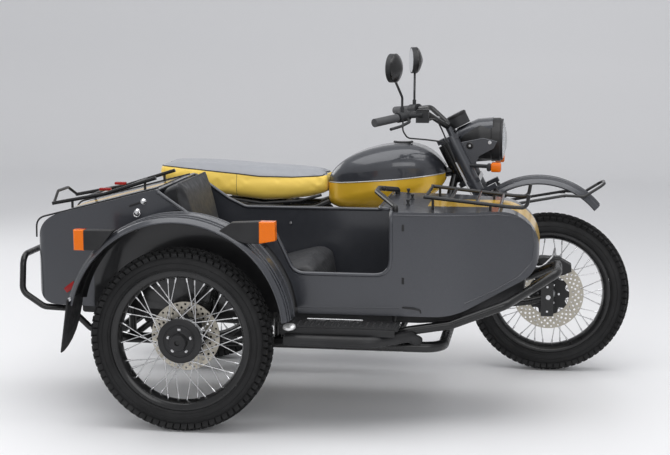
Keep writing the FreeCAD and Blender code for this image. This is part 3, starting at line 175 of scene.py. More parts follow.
def grained(name, colour, rough, metallic=0.0, grain=900, depth=0.1, vary=0.15, blotch=9,
            coat=0.0, stretch=(1, 1, 1), distance=0.0004):
    """A finish with a slow change of tone, a fine grain and uneven gloss."""
    material, tree, shader = new_material(name)
    light = tuple(min(1.0, c * (1 + vary)) for c in colour)
    dark = tuple(c * (1 - vary) for c in colour)
    tone = spread(tree, noise(tree, blotch, 4), 0, 1, 0.35, 0.65)
    uneven = spread(tree, noise(tree, blotch * 4, 5, stretch), max(0.03, rough * 0.8),
                    min(1, rough * 1.2))
    wire(tree, shader, Base_Color=mixed(tree, tone, dark, light), Roughness=uneven,
         Metallic=metallic)
    bump(tree, shader, noise(tree, grain, 3, stretch), depth, distance)
    if not metallic:
        wire(tree, shader, Specular_IOR_Level=0.3)
    if coat:
        wire(tree, shader, Coat_Weight=coat, Coat_Roughness=0.1)
    return material


GREY = (0.040, 0.0425, 0.0505)
YELLOW = (0.86, 0.52, 0.035)
# Near-black used as painted shade under the mudguards and on the tub inside the sidecar wheel's
# arch.
SHADE_DARK = (0.009, 0.009, 0.01)


def car_paint(name, mask=None, other=None, gloss=0.13, shade_part=None):
    """Fine metal-flake grey under clear lacquer; mask(tree) says where the second colour is, and
    the last argument's mask where painted shade darkens it.
    """
    material, tree, shader = new_material(name)
    flakes = node(tree, "ShaderNodeTexVoronoi", Scale=1500, Vector=coordinates(tree))
    glint = spread(tree, flakes.outputs["Color"], 0.0, 1.0, 0.1, 0.9)
    dark = tuple(c * 0.8 for c in GREY)
    light = tuple(c * 1.35 for c in GREY)
    grey = mixed(tree, glint, dark, light)
    if mask:
        tone = spread(tree, noise(tree, 6, 3), 0, 1)
        other = other or YELLOW
        second = mixed(tree, tone, tuple(c * 0.93 for c in other), other)
        grey = mixed(tree, mask(tree), grey, second)
    # painted shade: near-black where the last mask says
    if shade_part:
        grey = mixed(tree, shade_part(tree), grey, SHADE_DARK)
    wire(tree, shader, Base_Color=grey, Roughness=spread(tree, noise(tree, 30, 4), 0.28, 0.38),
         Metallic=0.35, Coat_Weight=0.8, Coat_Roughness=gloss)
    bump(tree, shader, noise(tree, 260, 2), 0.02, 0.0005)
    return material


def leather(name, colour, vary=0.1, scale=420, mask=None, other=None, sheen=0.12, depth=0.22):
    """Grained vinyl: small cells with creases between them."""
    material, tree, shader = new_material(name)
    tone = spread(tree, noise(tree, 12, 4), 0, 1)
    face = mixed(tree, tone, tuple(c * (1 - vary) for c in colour), colour)
    if mask:
        face = mixed(tree, mask(tree), face, other)
    cells = node(tree, "ShaderNodeTexVoronoi", Scale=scale, Vector=coordinates(tree))
    fold = math_node(tree, "ADD", cells.outputs["Distance"], noise(tree, 60, 4))
    bump(tree, shader, fold, depth, 0.0009)
    wire(tree, shader, Base_Color=face, Sheen_Weight=sheen,
         Roughness=spread(tree, noise(tree, 40, 4), 0.42, 0.58))
    return material


def ripples(tree, direction, scale):
    """Waves along one axis, 0 to 1."""
    wave = node(tree, "ShaderNodeTexWave", Scale=scale, Vector=coordinates(tree))
    wave.bands_direction = direction
    return wave.outputs["Fac"]


def lens(name, colour):
    """Moulded lens with fine ribs inside."""
    material, tree, shader = new_material(name)
    ribs = ripples(tree, "X", 260)
    tint = mixed(tree, ribs, tuple(c * 0.72 for c in colour), colour)
    bump(tree, shader, ribs, 0.25, 0.0006)
    wire(tree, shader, Base_Color=tint, Roughness=0.12, Coat_Weight=0.25, Specular_IOR_Level=0.25)
    return material


def clear_glass(name):
    """Glass with a faint ripple."""
    material, tree, shader = new_material(name)
    bump(tree, shader, ripples(tree, "Y", 22), 0.06, 0.001)
    wire(tree, shader, Transmission_Weight=1.0, Roughness=0.02, IOR=1.45,
         Base_Color=mixed(tree, noise(tree, 20), (0.95, 0.97, 0.98), (1, 1, 1)))
    return material


def drawn(name, colour, rough, stretch=(6, 6, 200)):
    """Bright metal with fine lines from drawing or turning."""
    return grained(name, colour, rough, 1.0, 60, 0.08, 0.08, 5, stretch=stretch, distance=0.0002)


def under_line(points):
    """Mask of what lies below a line in side view, given as (x, z) places in millimetres."""
    def mask(tree):
        x, _, z = axes(tree)
        low, high = points[0][0], points[-1][0]
        bottom, top = min(p[1] for p in points), max(p[1] for p in points)
        share = math_node(tree, "DIVIDE", math_node(tree, "SUBTRACT", x, low), high - low)
        curve = node(tree, "ShaderNodeFloatCurve", Value=share)
        line = curve.mapping.curves[0]
        for i, (px, pz) in enumerate(points):
            u, v = (px - low) / (high - low), (pz - bottom) / (top - bottom)
            if i in (0, len(points) - 1):
                line.points[0 if i == 0 else -1].location = (u, v)
            else:
                line.points.new(u, v)
        curve.mapping.update()
        level = math_node(tree, "MULTIPLY", curve.outputs[0], top - bottom)
        return math_node(tree, "LESS_THAN", math_node(tree, "SUBTRACT", z, bottom), level)
    return mask


TANK_LINE = [(-960, 462), (-882, 465), (-654, 484), (-437, 508), (-395, 512)]
MID_Y, LID_HALF = -695, 62
# A mudguard's section: flat crown, sloping shoulder and rolled edge, as shares of its half width.
CROWN_SHARE, EDGE_SHARE, SHOULDER_FALL = 0.3, 0.82, 7
MID_SHEET = 1.8
ARCH_RADIUS, ARCH_Y = 410, -980


def band(half, low_x, high_x):
    """Mask of a straight stripe along the sidecar's middle."""
    def mask(tree):
        x, y, _ = axes(tree)
        return math_node(tree, "MULTIPLY", between(tree, y, MID_Y - half, MID_Y + half),
                         between(tree, x, low_x, high_x))
    return mask


def from_centre(tree, x, z, centre_x, centre_z):
    """Distance in side view from an arc's centre."""
    across = math_node(tree, "SUBTRACT", x, centre_x)
    upward = math_node(tree, "SUBTRACT", z, centre_z)
    squares = [math_node(tree, "MULTIPLY", part, part) for part in (across, upward)]
    return math_node(tree, "SQRT", math_node(tree, "ADD", *squares))


def hollow_side_shade(centre_x, centre_y, centre_z, radius, half, drop):
    """Mask of a mudguard's hollow side, darkened as painted shade: nearer its arc's centre than the
    middle of its sheet.
    """
    def mask(tree):
        x, y, z = axes(tree)
        away = from_centre(tree, x, z, centre_x, centre_z)
        share = math_node(tree, "DIVIDE", math_node(
            tree, "ABSOLUTE", math_node(tree, "SUBTRACT", y, centre_y)), half)
        shoulder = SHOULDER_FALL / (EDGE_SHARE - CROWN_SHARE)
        edge = (drop - SHOULDER_FALL) / (1 - EDGE_SHARE)
        for start, slope in ((CROWN_SHARE, shoulder), (EDGE_SHARE, edge - shoulder)):
            past = math_node(tree, "MAXIMUM", math_node(tree, "SUBTRACT", share, start))
            away = math_node(tree, "ADD", away, math_node(tree, "MULTIPLY", past, slope))
        return math_node(tree, "LESS_THAN", away, radius - MID_SHEET)
    return mask


def wheel_arch_shade(tree):
    """The tub's side inside the sidecar mudguard's arc, left black as painted shade."""
    x, y, z = axes(tree)
    away = from_centre(tree, x, z, -1320, 47)
    return math_node(tree, "MULTIPLY", math_node(tree, "LESS_THAN", away, ARCH_RADIUS),
                     math_node(tree, "LESS_THAN", y, ARCH_Y))


PAINT = car_paint("grey_paint", gloss=0.1)
# The mudguards' hollow undersides get painted shade: near-black where the real paint lies in
# shadow.
SIDE_GUARD_PAINT = car_paint("sidecar_guard_paint_with_painted_shade", hollow_side_shade(-1320, -1125, 47, 416, 90, 24),
                             SHADE_DARK)
FRONT_GUARD_PAINT = car_paint("front_guard_paint_with_painted_shade", hollow_side_shade(-48, 0, 164, 331, 68, 27), SHADE_DARK)
REAR_GUARD_PAINT = car_paint("rear_guard_paint_with_painted_shade", hollow_side_shade(-1490, 0, 0, 365, 75, 24), SHADE_DARK)
TANK_PAINT = car_paint("grey_and_yellow_tank_paint", under_line(TANK_LINE), gloss=0.04)
# The tub's side under the sidecar mudguard's arc is painted black as painted shade.
TUB_PAINT = car_paint("sidecar_paint_with_deck_stripe_and_arch_shade", band(106, -452, 40), shade_part=wheel_arch_shade)
LID_PAINT = car_paint("lid_paint_with_stripe", band(LID_HALF, -1940, -1400))
ENAMEL = grained("black_enamel", (0.009, 0.009, 0.0095), 0.3, 0.0, 300, 0.03, 0.25, 8,
                 coat=0.35)
SATIN_BLACK = grained("satin_black", (0.02, 0.02, 0.021), 0.42, 0.0, 700, 0.12, 0.2, 12)
CAST = grained("cast_case_metal", (0.42, 0.43, 0.44), 0.42, 1.0, 420, 0.35, 0.12, 14)
FIN_METAL = grained("finned_barrel_metal", (0.33, 0.335, 0.34), 0.45, 1.0, 500, 0.3, 0.15, 20)
STEEL = drawn("plated_steel", (0.62, 0.62, 0.63), 0.28)
DISC_STEEL = drawn("ground_disc_steel", (0.45, 0.42, 0.36), 0.33, (90, 1, 90))
CHROME = grained("polished_chrome", (0.8, 0.8, 0.81), 0.07, 1.0, 200, 0.01, 0.03, 6)
TYRE = grained("tyre_rubber", (0.0115, 0.0115, 0.012), 0.66, 0.0, 240, 0.3, 0.3, 7)
RUBBER = grained("moulded_rubber", (0.022, 0.022, 0.023), 0.6, 0.0, 500, 0.35, 0.2, 10)
PLASTIC = grained("grained_plastic", (0.028, 0.029, 0.031), 0.5, 0.0, 1200, 0.35, 0.15, 12)
AMBER = lens("amber_lens", (0.92, 0.19, 0.002))
RED = lens("red_lens", (0.36, 0.008, 0.008))
GLASS = clear_glass("clear_glass")
MIRROR = grained("mirror_glass", (0.82, 0.84, 0.86), 0.03, 1.0, 40, 0.0, 0.02, 3)
GRIP_RUBBER = grained("grip_rubber_grey", (0.075, 0.076, 0.08), 0.6, 0.0, 500, 0.4, 0.15, 10)
PIPING = leather("black_piping", (0.014, 0.014, 0.015), scale=700)
COLLECTION = bpy.context.scene.collection


# ------------------------------------------------------------------ shape builders
def keep(name, mesh, material, body, smooth):
    """Puts a mesh in the scene as a finished piece that rides on a body."""
    piece = bpy.data.objects.new(name, mesh)
    COLLECTION.objects.link(piece)
    mesh.materials.clear()
    mesh.materials.append(material)
    shade(mesh, smooth)
    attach(piece, body)
    return piece


def shade(mesh, angle):
    """Smooth faces, with edges sharper than the angle kept; None leaves them."""
    if angle is None:
        return
    for face in mesh.polygons:
        face.use_smooth = True
    sharp = math.radians(angle)
    shape = bmesh.new()
    shape.from_mesh(mesh)
    for edge in shape.edges:
        edge.smooth = not (len(edge.link_faces) == 2 and edge.calc_face_angle(0) > sharp)
    shape.to_mesh(mesh)
    shape.free()


def to_mesh(name, shape, merge=1e-6):
    """A closed mesh with its normals outward."""
    bmesh.ops.remove_doubles(shape, verts=shape.verts, dist=merge)
    bmesh.ops.recalc_face_normals(shape, faces=shape.faces)
    mesh = bpy.data.meshes.new(name)
    shape.to_mesh(mesh)
    shape.free()
    return mesh


def frame_of(direction):
    """Turns +Z to a direction."""
    hint = Vector((0, 0, 1))
    direction = Vector(direction).normalized()
    if abs(direction.dot(hint)) > 0.95:
        hint = Vector((1, 0, 0))
    side = hint.cross(direction).normalized()
    return Matrix((side, direction.cross(side), direction)).transposed()


def lathe(shape, profile, centre, axis, steps):
    """Turns a closed or pole-to-pole profile of (radius, along) in millimetres about an axis."""
    turn = frame_of(axis)
    rings = []
    for radius, along in profile:
        if radius < 1e-6:
            rings.append([shape.verts.new(centre + turn @ Vector((0, 0, along * MM)))])
            continue
        rings.append([shape.verts.new(centre + turn @ Vector((
            radius * MM * math.cos(TAU * i / steps), radius * MM * math.sin(TAU * i / steps),
            along * MM))) for i in range(steps)])
    closed = profile[0][0] > 1e-6 and profile[-1][0] > 1e-6
    pairs = list(zip(rings, rings[1:])) + ([(rings[-1], rings[0])] if closed else [])
    for first, second in pairs:
        for i in range(steps):
            j = (i + 1) % steps
            corners = [first[i % len(first)], first[j % len(first)],
                       second[j % len(second)], second[i % len(second)]]
            unique = list(dict.fromkeys(corners))
            if len(unique) > 2:
                shape.faces.new(unique)
    return shape


def rounded_path(points, radius, steps):
    """Corner points in millimetres, each corner rounded, as places in metres."""
    places = [Vector(p) for p in points]
    out = [places[0]]
    for before, corner, after in zip(places, places[1:], places[2:]):
        back, on = (before - corner), (after - corner)
        turn = math.pi - back.angle(on)
        if turn < 0.02:
            out.append(corner)
            continue
        cut = min(radius * math.tan(turn / 2), back.length * 0.48, on.length * 0.48)
        start, end = corner + back.normalized() * cut, corner + on.normalized() * cut
        for i in range(steps + 1):
            t = i / steps
            out.append((1 - t) ** 2 * start + 2 * t * (1 - t) * corner + t * t * end)
    out.append(places[-1])
    return [at(*p) for p in out]


def tube(shape, path, radius, sides, closed=False):
    """A round tube along places in metres; the radius is in millimetres."""
    count = len(path)
    rings = []
    normal = None
    for i, place in enumerate(path):
        ahead = path[(i + 1) % count] if closed or i + 1 < count else place
        behind = path[i - 1] if closed or i else place
        tangent = (ahead - behind).normalized()
        if normal is None:
            normal = frame_of(tangent).col[0].copy()
        normal = (normal - tangent * normal.dot(tangent)).normalized()
        other = tangent.cross(normal)
        rings.append([shape.verts.new(place + (normal * math.cos(TAU * k / sides)
                                               + other * math.sin(TAU * k / sides)) * radius * MM)
                      for k in range(sides)])
    spans = list(zip(rings, rings[1:])) + ([(rings[-1], rings[0])] if closed else [])
    for first, second in spans:
        for k in range(sides):
            j = (k + 1) % sides
            shape.faces.new((first[k], first[j], second[j], second[k]))
    if not closed:
        shape.faces.new(rings[0][::-1])
        shape.faces.new(rings[-1])
    return shape


def box_into(shape, centre, size, bevel, turn=None):
    """A block with rounded edges; all in millimetres but the centre, which is a place."""
    made = bmesh.ops.create_cube(shape, size=1)["verts"]
    for vert in made:
        vert.co = Vector((vert.co.x * size[0], vert.co.y * size[1], vert.co.z * size[2])) * MM
    if bevel:
        edges = list({e for v in made for e in v.link_edges})
        result = bmesh.ops.bevel(shape, geom=edges, offset=bevel * MM, segments=2, profile=0.5,
                                 affect="EDGES")
        made = list({v for f in result["faces"] for v in f.verts} | {v for v in made if v.is_valid})
    for vert in made:
        vert.co = centre + (turn @ vert.co if turn else vert.co)
    return shape


def plate_with_holes(outline, holes, thick, bevel=0.3):
    """A flat plate in its own XY plane, in millimetres: outline and holes are lists of points."""
    curve = bpy.data.curves.new("plate", "CURVE")
    curve.dimensions = "2D"
    curve.fill_mode = "BOTH"
    curve.extrude = thick / 2 * MM - bevel * MM
    curve.bevel_depth = bevel * MM
    curve.bevel_resolution = 0
    for ring in [outline] + holes:
        spline = curve.splines.new("POLY")
        spline.points.add(len(ring) - 1)
        for point, place in zip(spline.points, ring):
            point.co = (place[0] * MM, place[1] * MM, 0, 1)
        spline.use_cyclic_u = True
    holder = bpy.data.objects.new("plate", curve)
    COLLECTION.objects.link(holder)
    mesh = bpy.data.meshes.new_from_object(holder)
    bpy.data.objects.remove(holder)
    shape = bmesh.new()
    shape.from_mesh(mesh)
    bpy.data.meshes.remove(mesh)
    return shape


def circle(radius, steps, x=0.0, y=0.0):
    """Points round a circle."""
    return [(x + radius * math.cos(TAU * i / steps), y + radius * math.sin(TAU * i / steps))
            for i in range(steps)]


FLAT_ON_WHEEL = Matrix(((1, 0, 0), (0, 0, -1), (0, 1, 0)))


def stood(shape, place):
    """Turns a flat plate into side view, its own origin at a place."""
    turn = Matrix.Translation(place) @ FLAT_ON_WHEEL.to_4x4()
    bmesh.ops.transform(shape, matrix=turn, verts=shape.verts)


# ------------------------------------------------------------------ growing trees
def new_tree(name, **sizes):
    """A geometry tree that takes named sizes."""
    tree = bpy.data.node_groups.new(name, "GeometryNodeTree")
    tree.interface.new_socket("Geometry", in_out="INPUT", socket_type="NodeSocketGeometry")
    for key, kind in sizes.items():
        tree.interface.new_socket(key, in_out="INPUT", socket_type="NodeSocket" + kind)
    tree.interface.new_socket("Geometry", in_out="OUTPUT", socket_type="NodeSocketGeometry")
    return tree, tree.nodes.new("NodeGroupInput"), tree.nodes.new("NodeGroupOutput")


def end_tree(tree, geometry, finish, out):
    """Realizes the copies and gives them their finish."""
    real = node(tree, "GeometryNodeRealizeInstances", Geometry=geometry)
    coat = node(tree, "GeometryNodeSetMaterial", Geometry=real.outputs[0], Material=finish)
    tree.links.new(coat.outputs[0], out.inputs[0])


def grow(name, seed_mesh, tree, material, body, slot, smooth, **sizes):
    """Runs a tree on a seed mesh and keeps the plain mesh that comes out."""
    maker = bpy.data.objects.new(name, seed_mesh)
    COLLECTION.objects.link(maker)
    modifier = maker.modifiers.new("grow", "NODES")
    modifier.node_group = tree
    sizes["Finish"] = material
    for item in tree.interface.items_tree:
        if item.in_out == "INPUT" and item.name in sizes:
            modifier[item.identifier] = sizes[item.name]
    depsgraph = bpy.context.evaluated_depsgraph_get()
    mesh = bpy.data.meshes.new_from_object(maker.evaluated_get(depsgraph), depsgraph=depsgraph)
    bpy.data.objects.remove(maker)
    return keep(name, mesh, material, body, smooth)


# Sides, width and height of a bolt's head, washer and thread end, and the height of its middle.
BOLT_PARTS = ((6, 1.0, 1.0, 0.7), (20, 1.35, 0.3, 0.15), (12, 0.5, 0.5, 1.35))


def bolt_tree():
    """Hexagon heads with a washer on each point, facing its way."""
    tree, given, out = new_tree("bolts", Radius="Float", Height="Float", Finish="Material")
    radius, height = given.outputs["Radius"], given.outputs["Height"]
    facing = node(tree, "GeometryNodeInputNamedAttribute", Name="facing")
    facing.data_type = "FLOAT_VECTOR"
    swell = node(tree, "GeometryNodeInputNamedAttribute", Name="swell")
    swell.data_type = "FLOAT"
    parts = node(tree, "GeometryNodeJoinGeometry")
    for sides, wide, tall, lift in BOLT_PARTS:
        head = node(tree, "GeometryNodeMeshCylinder", Vertices=sides,
                    Radius=math_node(tree, "MULTIPLY", radius, wide),
                    Depth=math_node(tree, "MULTIPLY", height, tall))
        up = node(tree, "ShaderNodeCombineXYZ", Z=math_node(tree, "MULTIPLY", height, lift))
        move = node(tree, "GeometryNodeTransform", Geometry=head.outputs["Mesh"],
                    Translation=up.outputs[0])
        tree.links.new(move.outputs[0], parts.inputs[0])
    turn = node(tree, "FunctionNodeAlignRotationToVector", Vector=facing.outputs["Attribute"])
    turn.axis = "Z"
    points = node(tree, "GeometryNodeMeshToPoints", Mesh=given.outputs["Geometry"])
    copies = node(tree, "GeometryNodeInstanceOnPoints", Points=points.outputs["Points"],
                  Instance=parts.outputs[0], Rotation=turn.outputs[0],
                  Scale=swell.outputs["Attribute"])
    end_tree(tree, copies.outputs[0], given.outputs["Finish"], out)
    return tree


def rod_tree():
    """A round rod along each loose edge."""
    tree, given, out = new_tree("rods", Radius="Float", Finish="Material")
    lines = node(tree, "GeometryNodeMeshToCurve", Mesh=given.outputs["Geometry"])
    section = node(tree, "GeometryNodeCurvePrimitiveCircle", Resolution=8,
                   Radius=given.outputs["Radius"])
    sweep = node(tree, "GeometryNodeCurveToMesh", Curve=lines.outputs[0],
                 Profile_Curve=section.outputs[0], Fill_Caps=True)
    end_tree(tree, sweep.outputs[0], given.outputs["Finish"], out)
    return tree


def knob_tree():
    """One ring of tread blocks, narrower on top, round the Y axis of a wheel."""
    tree, given, out = new_tree("tread_blocks", Count="Int", Radius="Float", Across="Float",
                                Phase="Float", Lean="Float", Size="Vector", Middle="Vector",
                                Finish="Material")
    ring = node(tree, "GeometryNodeMeshCircle", Vertices=given.outputs["Count"],
                Radius=given.outputs["Radius"])
    block = node(tree, "GeometryNodeMeshCube", Size=given.outputs["Size"])
    normal = node(tree, "GeometryNodeInputNormal")
    apart = node(tree, "ShaderNodeSeparateXYZ", Vector=normal.outputs[0])
    facing_up = node(tree, "FunctionNodeCompare", A=apart.outputs[2], B=0.9)
    facing_up.operation = "GREATER_THAN"
    top = node(tree, "GeometryNodeScaleElements", Geometry=block.outputs["Mesh"],
               Selection=facing_up.outputs[0], Scale=0.8)
    # each block: tilted sideways, then stood out from the ring, whose own axis is Z here
    lean = node(tree, "ShaderNodeCombineXYZ", X=given.outputs["Lean"])
    tilt = node(tree, "GeometryNodeTransform", Geometry=top.outputs[0], Rotation=lean.outputs[0])
    place = node(tree, "GeometryNodeInputPosition")
    outward = node(tree, "FunctionNodeAlignRotationToVector", Vector=place.outputs[0])
    outward.axis = "Z"
    axle = node(tree, "ShaderNodeCombineXYZ", Z=1.0)
    upright = node(tree, "FunctionNodeAlignRotationToVector", Rotation=outward.outputs[0],
                   Vector=axle.outputs[0])
    upright.axis = "Y"
    upright.pivot_axis = "Z"
    copies = node(tree, "GeometryNodeInstanceOnPoints", Points=ring.outputs["Mesh"],
                  Instance=tilt.outputs[0], Rotation=upright.outputs[0])
    swing = node(tree, "ShaderNodeCombineXYZ", Z=given.outputs["Phase"])
    aside = node(tree, "ShaderNodeCombineXYZ", Z=given.outputs["Across"])
    spin = node(tree, "GeometryNodeTransform", Geometry=copies.outputs[0],
                Rotation=swing.outputs[0], Translation=aside.outputs[0])
    # stand the ring up so that its axis is the wheel's, and move it to the axle
    stand = node(tree, "GeometryNodeTransform", Geometry=spin.outputs[0],
                 Translation=given.outputs["Middle"], Rotation=(-math.pi / 2, 0, 0))
    end_tree(tree, stand.outputs[0], given.outputs["Finish"], out)
    return tree


BOLTS, RODS, KNOBS = bolt_tree(), rod_tree(), knob_tree()


def bolts(name, rows, body, radius, height):
    """rows: (x, y, z, facing, size); one piece holds them all."""
    seeds = bpy.data.meshes.new("places")
    seeds.from_pydata([tuple(at(*row[:3])) for row in rows], [], [])
    facing = seeds.attributes.new("facing", "FLOAT_VECTOR", "POINT")
    facing.data.foreach_set("vector", [c for row in rows for c in Vector(row[3]).normalized()])
    swell = seeds.attributes.new("swell", "FLOAT", "POINT")
    swell.data.foreach_set("value", [row[4] for row in rows])
    return grow(name, seeds, BOLTS, STEEL, body, "bright_metal", 30, Radius=radius * MM,
                Height=height * MM)


# ------------------------------------------------------------------ wheels
SPOKES = 40
TREAD_COUNT = 74


def tyre(prefix, centre):
    """Smooth sidewalls with a bead line, and five rings of separate tread blocks."""
    half = [(316, 0), (315.5, 18), (313, 33), (306, 42), (296, 47), (283, 49.5), (272, 48.5),
            (266, 46), (262.5, 43.5), (259.6, 41), (259.6, 39)]
    ring = half + [(262, 0)] + [(r, -a) for r, a in half[:0:-1]]
    shape = lathe(bmesh.new(), ring, centre, Y, 120)
    for radius, across in ((288, 50.2), (267.5, 48.0)):
        for side in (-1, 1):
            lathe(shape, [(radius - 2, side * (across - 2.5)), (radius, side * across),
                          (radius + 2, side * (across - 2.5))][::side], centre, Y, 120)
    carcass = keep(prefix + "_tyre_carcass", to_mesh("carcass", shape), TYRE, prefix, 50)
    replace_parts(carcass, prefix + "_tyre")
    for i, (radius, across, phase, lean, size) in enumerate((
            (326.8, 0, 0, 0, (12.5, 25, 22)), (325.6, 22.5, 0.5, -0.20, (11, 25, 22)),
            (325.6, -22.5, 0.5, 0.20, (11, 25, 22)), (316.5, 40.0, 0, -0.62, (11.5, 24, 22)),
            (316.5, -40.0, 0, 0.62, (11.5, 24, 22)))):
        # block size: across the tyre, along it and outwards
        seed = bpy.data.meshes.new("seed")
        blocks = grow(f"{prefix}_tread_blocks_{i}", seed, KNOBS, TYRE, prefix, "tyre", 30,
                      Count=TREAD_COUNT, Radius=radius * MM, Across=across * MM,
                      Phase=phase * TAU / TREAD_COUNT, Lean=lean,
                      Size=[size[1] * MM, size[0] * MM, size[2] * MM], Middle=list(centre))
        blocks.parent = carcass.parent


def spokes(prefix, centre, feet):
    """Crossed wire spokes, each with a nipple at the rim."""
    lines, nipples = [], []
    for i in range(SPOKES):
        side = 1 if i % 2 else -1
        way = 1 if (i // 2) % 2 else -1
        apart = way * 2.25
        rim_angle = TAU * (i + 0.5) / SPOKES
        foot_angle = rim_angle + math.radians(38 * way)
        inner = feet[side] - 4
        foot = Vector((inner * math.cos(foot_angle), side * 31 + apart,
                       inner * math.sin(foot_angle)))
        tip = Vector((227 * math.cos(rim_angle), side * 9 + apart, 227 * math.sin(rim_angle)))
        run = (tip - foot).normalized()
        lines.append((centre + foot * MM, centre + tip * MM))
        nipples.append((centre + (tip - run * 17) * MM, centre + tip * MM))
    for part, runs, radius in (("spoke_wires", lines, 1.9), ("spoke_nipples", nipples, 3.6)):
        seed = bpy.data.meshes.new("runs")
        seed.from_pydata([tuple(p) for run in runs for p in run],
                         [(2 * i, 2 * i + 1) for i in range(len(runs))], [])
        made = grow(f"{prefix}_{part}", seed, RODS, STEEL if radius < 3 else CHROME, prefix,
                    "bright_metal", 50, Radius=radius * MM)
        if part == "spoke_wires":
            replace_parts(made, prefix + "_spokes")


def drilled_disc(prefix, centre, radius, inner, offset, rows):
    """A brake disc with rows of drilled holes: (row radius, hole radius, count, phase)."""
    holes = [circle(inner, 48)]
    for row, hole, count, phase in rows:
        for i in range(count):
            angle = TAU * (i + phase) / count
            holes.append(circle(hole, 10, row * math.cos(angle), row * math.sin(angle)))
    shape = plate_with_holes(circle(radius, 96), holes, 5)
    stood(shape, centre + Y * offset * MM)
    return keep(prefix + "_brake_disc", to_mesh("disc", shape, 1e-5), DISC_STEEL, prefix,
                30)


def rim(prefix, centre):
    """Rolled rim: two bead walls, a well between them and a bright edge line."""
    half = [(259, 37), (259, 34.5), (252, 32.5), (250.5, 30), (240, 28), (236, 22), (232, 12),
            (230, 0)]
    inner = [(226, 0), (228, 12), (231.5, 22), (235, 30), (239.5, 33.5), (246, 35.5), (250, 37.8)]
    section = half + [(r, -a) for r, a in half[-2::-1]] + [(r, -a) for r, a in inner[::-1]] \
        + inner[1:]
    shape = lathe(bmesh.new(), section, centre, Y, 120)
    made = keep(prefix + "_rolled_rim", to_mesh("rim", shape), ENAMEL, prefix, 50)
    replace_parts(made, prefix + "_rim")


def hub(prefix, centre, disc_side, cover):
    """Hub barrel with spoke flanges; the sidecar's has a round black cover outside."""
    s = disc_side
    barrel = [(10.3, s * 60), (24, s * 60), (30, s * 56), (31, s * 44), (40, s * 40),
              (42, s * 36), (69, s * 34), (70, s * 32), (70, s * 29), (66, s * 27.5), (40, s * 26),
              (36, s * 20), (36, -s * 20), (40, -s * 26), (66, -s * 27.5), (70, -s * 29),
              (70, -s * 32), (69, -s * 34), (42, -s * 36)]
    if cover:
        barrel = barrel[:-6] + [(38, -s * 26), (38, -s * 27), (10.3, -s * 27)]
    else:
        barrel += [(32, -s * 42), (30, -s * 58), (24, -s * 63.5), (10.3, -s * 63.5)]
    shape = lathe(bmesh.new(), barrel, centre, Y, 72)
    made = keep(prefix + "_hub_barrel", to_mesh("barrel", shape), CAST, prefix, 35)
    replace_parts(made, prefix + "_hub")
    if cover:
        cap = [(10.3, -s * 28), (79, -s * 28), (82, -s * 30), (82, -s * 37), (79.5, -s * 40),
               (74, -s * 41.5), (60, -s * 42), (58.5, -s * 40), (55, -s * 40), (53, -s * 42),
               (35, -s * 42.5), (32, -s * 44), (31.5, -s * 66), (29, -s * 72), (22, -s * 73.8),
               (10.3, -s * 74)]
        shape = lathe(bmesh.new(), cap, centre, Y, 96)
        for i in range(5):
            angle = TAU * (i + 0.25) / 5
            away = Vector((44 * math.cos(angle), -s * 43, 44 * math.sin(angle))) * MM
            box_into(shape, centre + away, (22, 4, 7), 1, Matrix.Rotation(-angle, 3, "Y"))
        keep(prefix + "_hub_cover", to_mesh("cover", shape), SATIN_BLACK, prefix, 35)


def wheel_bolts(prefix, centre, radius, offset, side, count, size, phase=0.0):
    """A ring of bolts round an axle."""
    base = (centre - FRONT_AXLE) / MM
    rows = []
    for i in range(count):
        angle = TAU * (i + phase) / count
        rows.append((base.x + radius * math.cos(angle), base.y + offset,
                     base.z + radius * math.sin(angle), (0, side, 0), 1.0))
    return bolts(f"{prefix}_bolts_{int(radius)}", rows, prefix, size, size * 0.7)


def lugs(prefix, centre, offset, inner, outer, count, thick):
    """Scalloped black carrier that holds a brake disc."""
    outline = []
    for i in range(count * 8):
        angle = TAU * i / (count * 8)
        wave = 0.5 + 0.5 * math.cos(count * angle)
        radius = inner + (outer - inner) * wave ** 1.5
        outline.append((radius * math.cos(angle), radius * math.sin(angle)))
    shape = plate_with_holes(outline, [circle(32, 40)], thick, 0.6)
    stood(shape, centre + Y * offset * MM)
    return keep(prefix + "_disc_carrier", to_mesh("carrier", shape, 1e-5), SATIN_BLACK, prefix,
                30)


for prefix, centre, disc_side, cover in (("front_wheel", FRONT_AXLE, -1, False),
                                         ("rear_wheel", REAR_AXLE, 1, False),
                                         ("sidecar_wheel", SIDE_AXLE, 1, True)):
    tyre(prefix, centre)
    rim(prefix, centre)
    hub(prefix, centre, disc_side, cover)
    spokes(prefix, centre, {disc_side: 70, -disc_side: 80 if cover else 70})
drilled_disc("front_wheel", FRONT_AXLE, 147, 88, -66,
             [(139, 4.4, 30, 0), (127, 5.2, 30, 0.5), (115, 5.2, 30, 0), (103, 4.6, 30, 0.5)])
lugs("front_wheel", FRONT_AXLE, -61.5, 74, 98, 10, 4)
wheel_bolts("front_wheel", FRONT_AXLE, 93, -63.3, -1, 10, 4.2)
wheel_bolts("front_wheel", FRONT_AXLE, 44, -60.5, -1, 6, 5)
for prefix, centre in (("rear_wheel", REAR_AXLE), ("sidecar_wheel", SIDE_AXLE)):
    drilled_disc(prefix, centre, 128, 76, 53,
                 [(119, 4.4, 24, 0), (107, 5.2, 24, 0.5), (95, 5.0, 24, 0)])
    lugs(prefix, centre, 48.5, 62, 88, 8, 4)
    wheel_bolts(prefix, centre, 82, 50.6, 1, 8, 4.2)
wheel_bolts("sidecar_wheel", SIDE_AXLE, 44, -42.6, -1, 5, 4.4, 0.25)


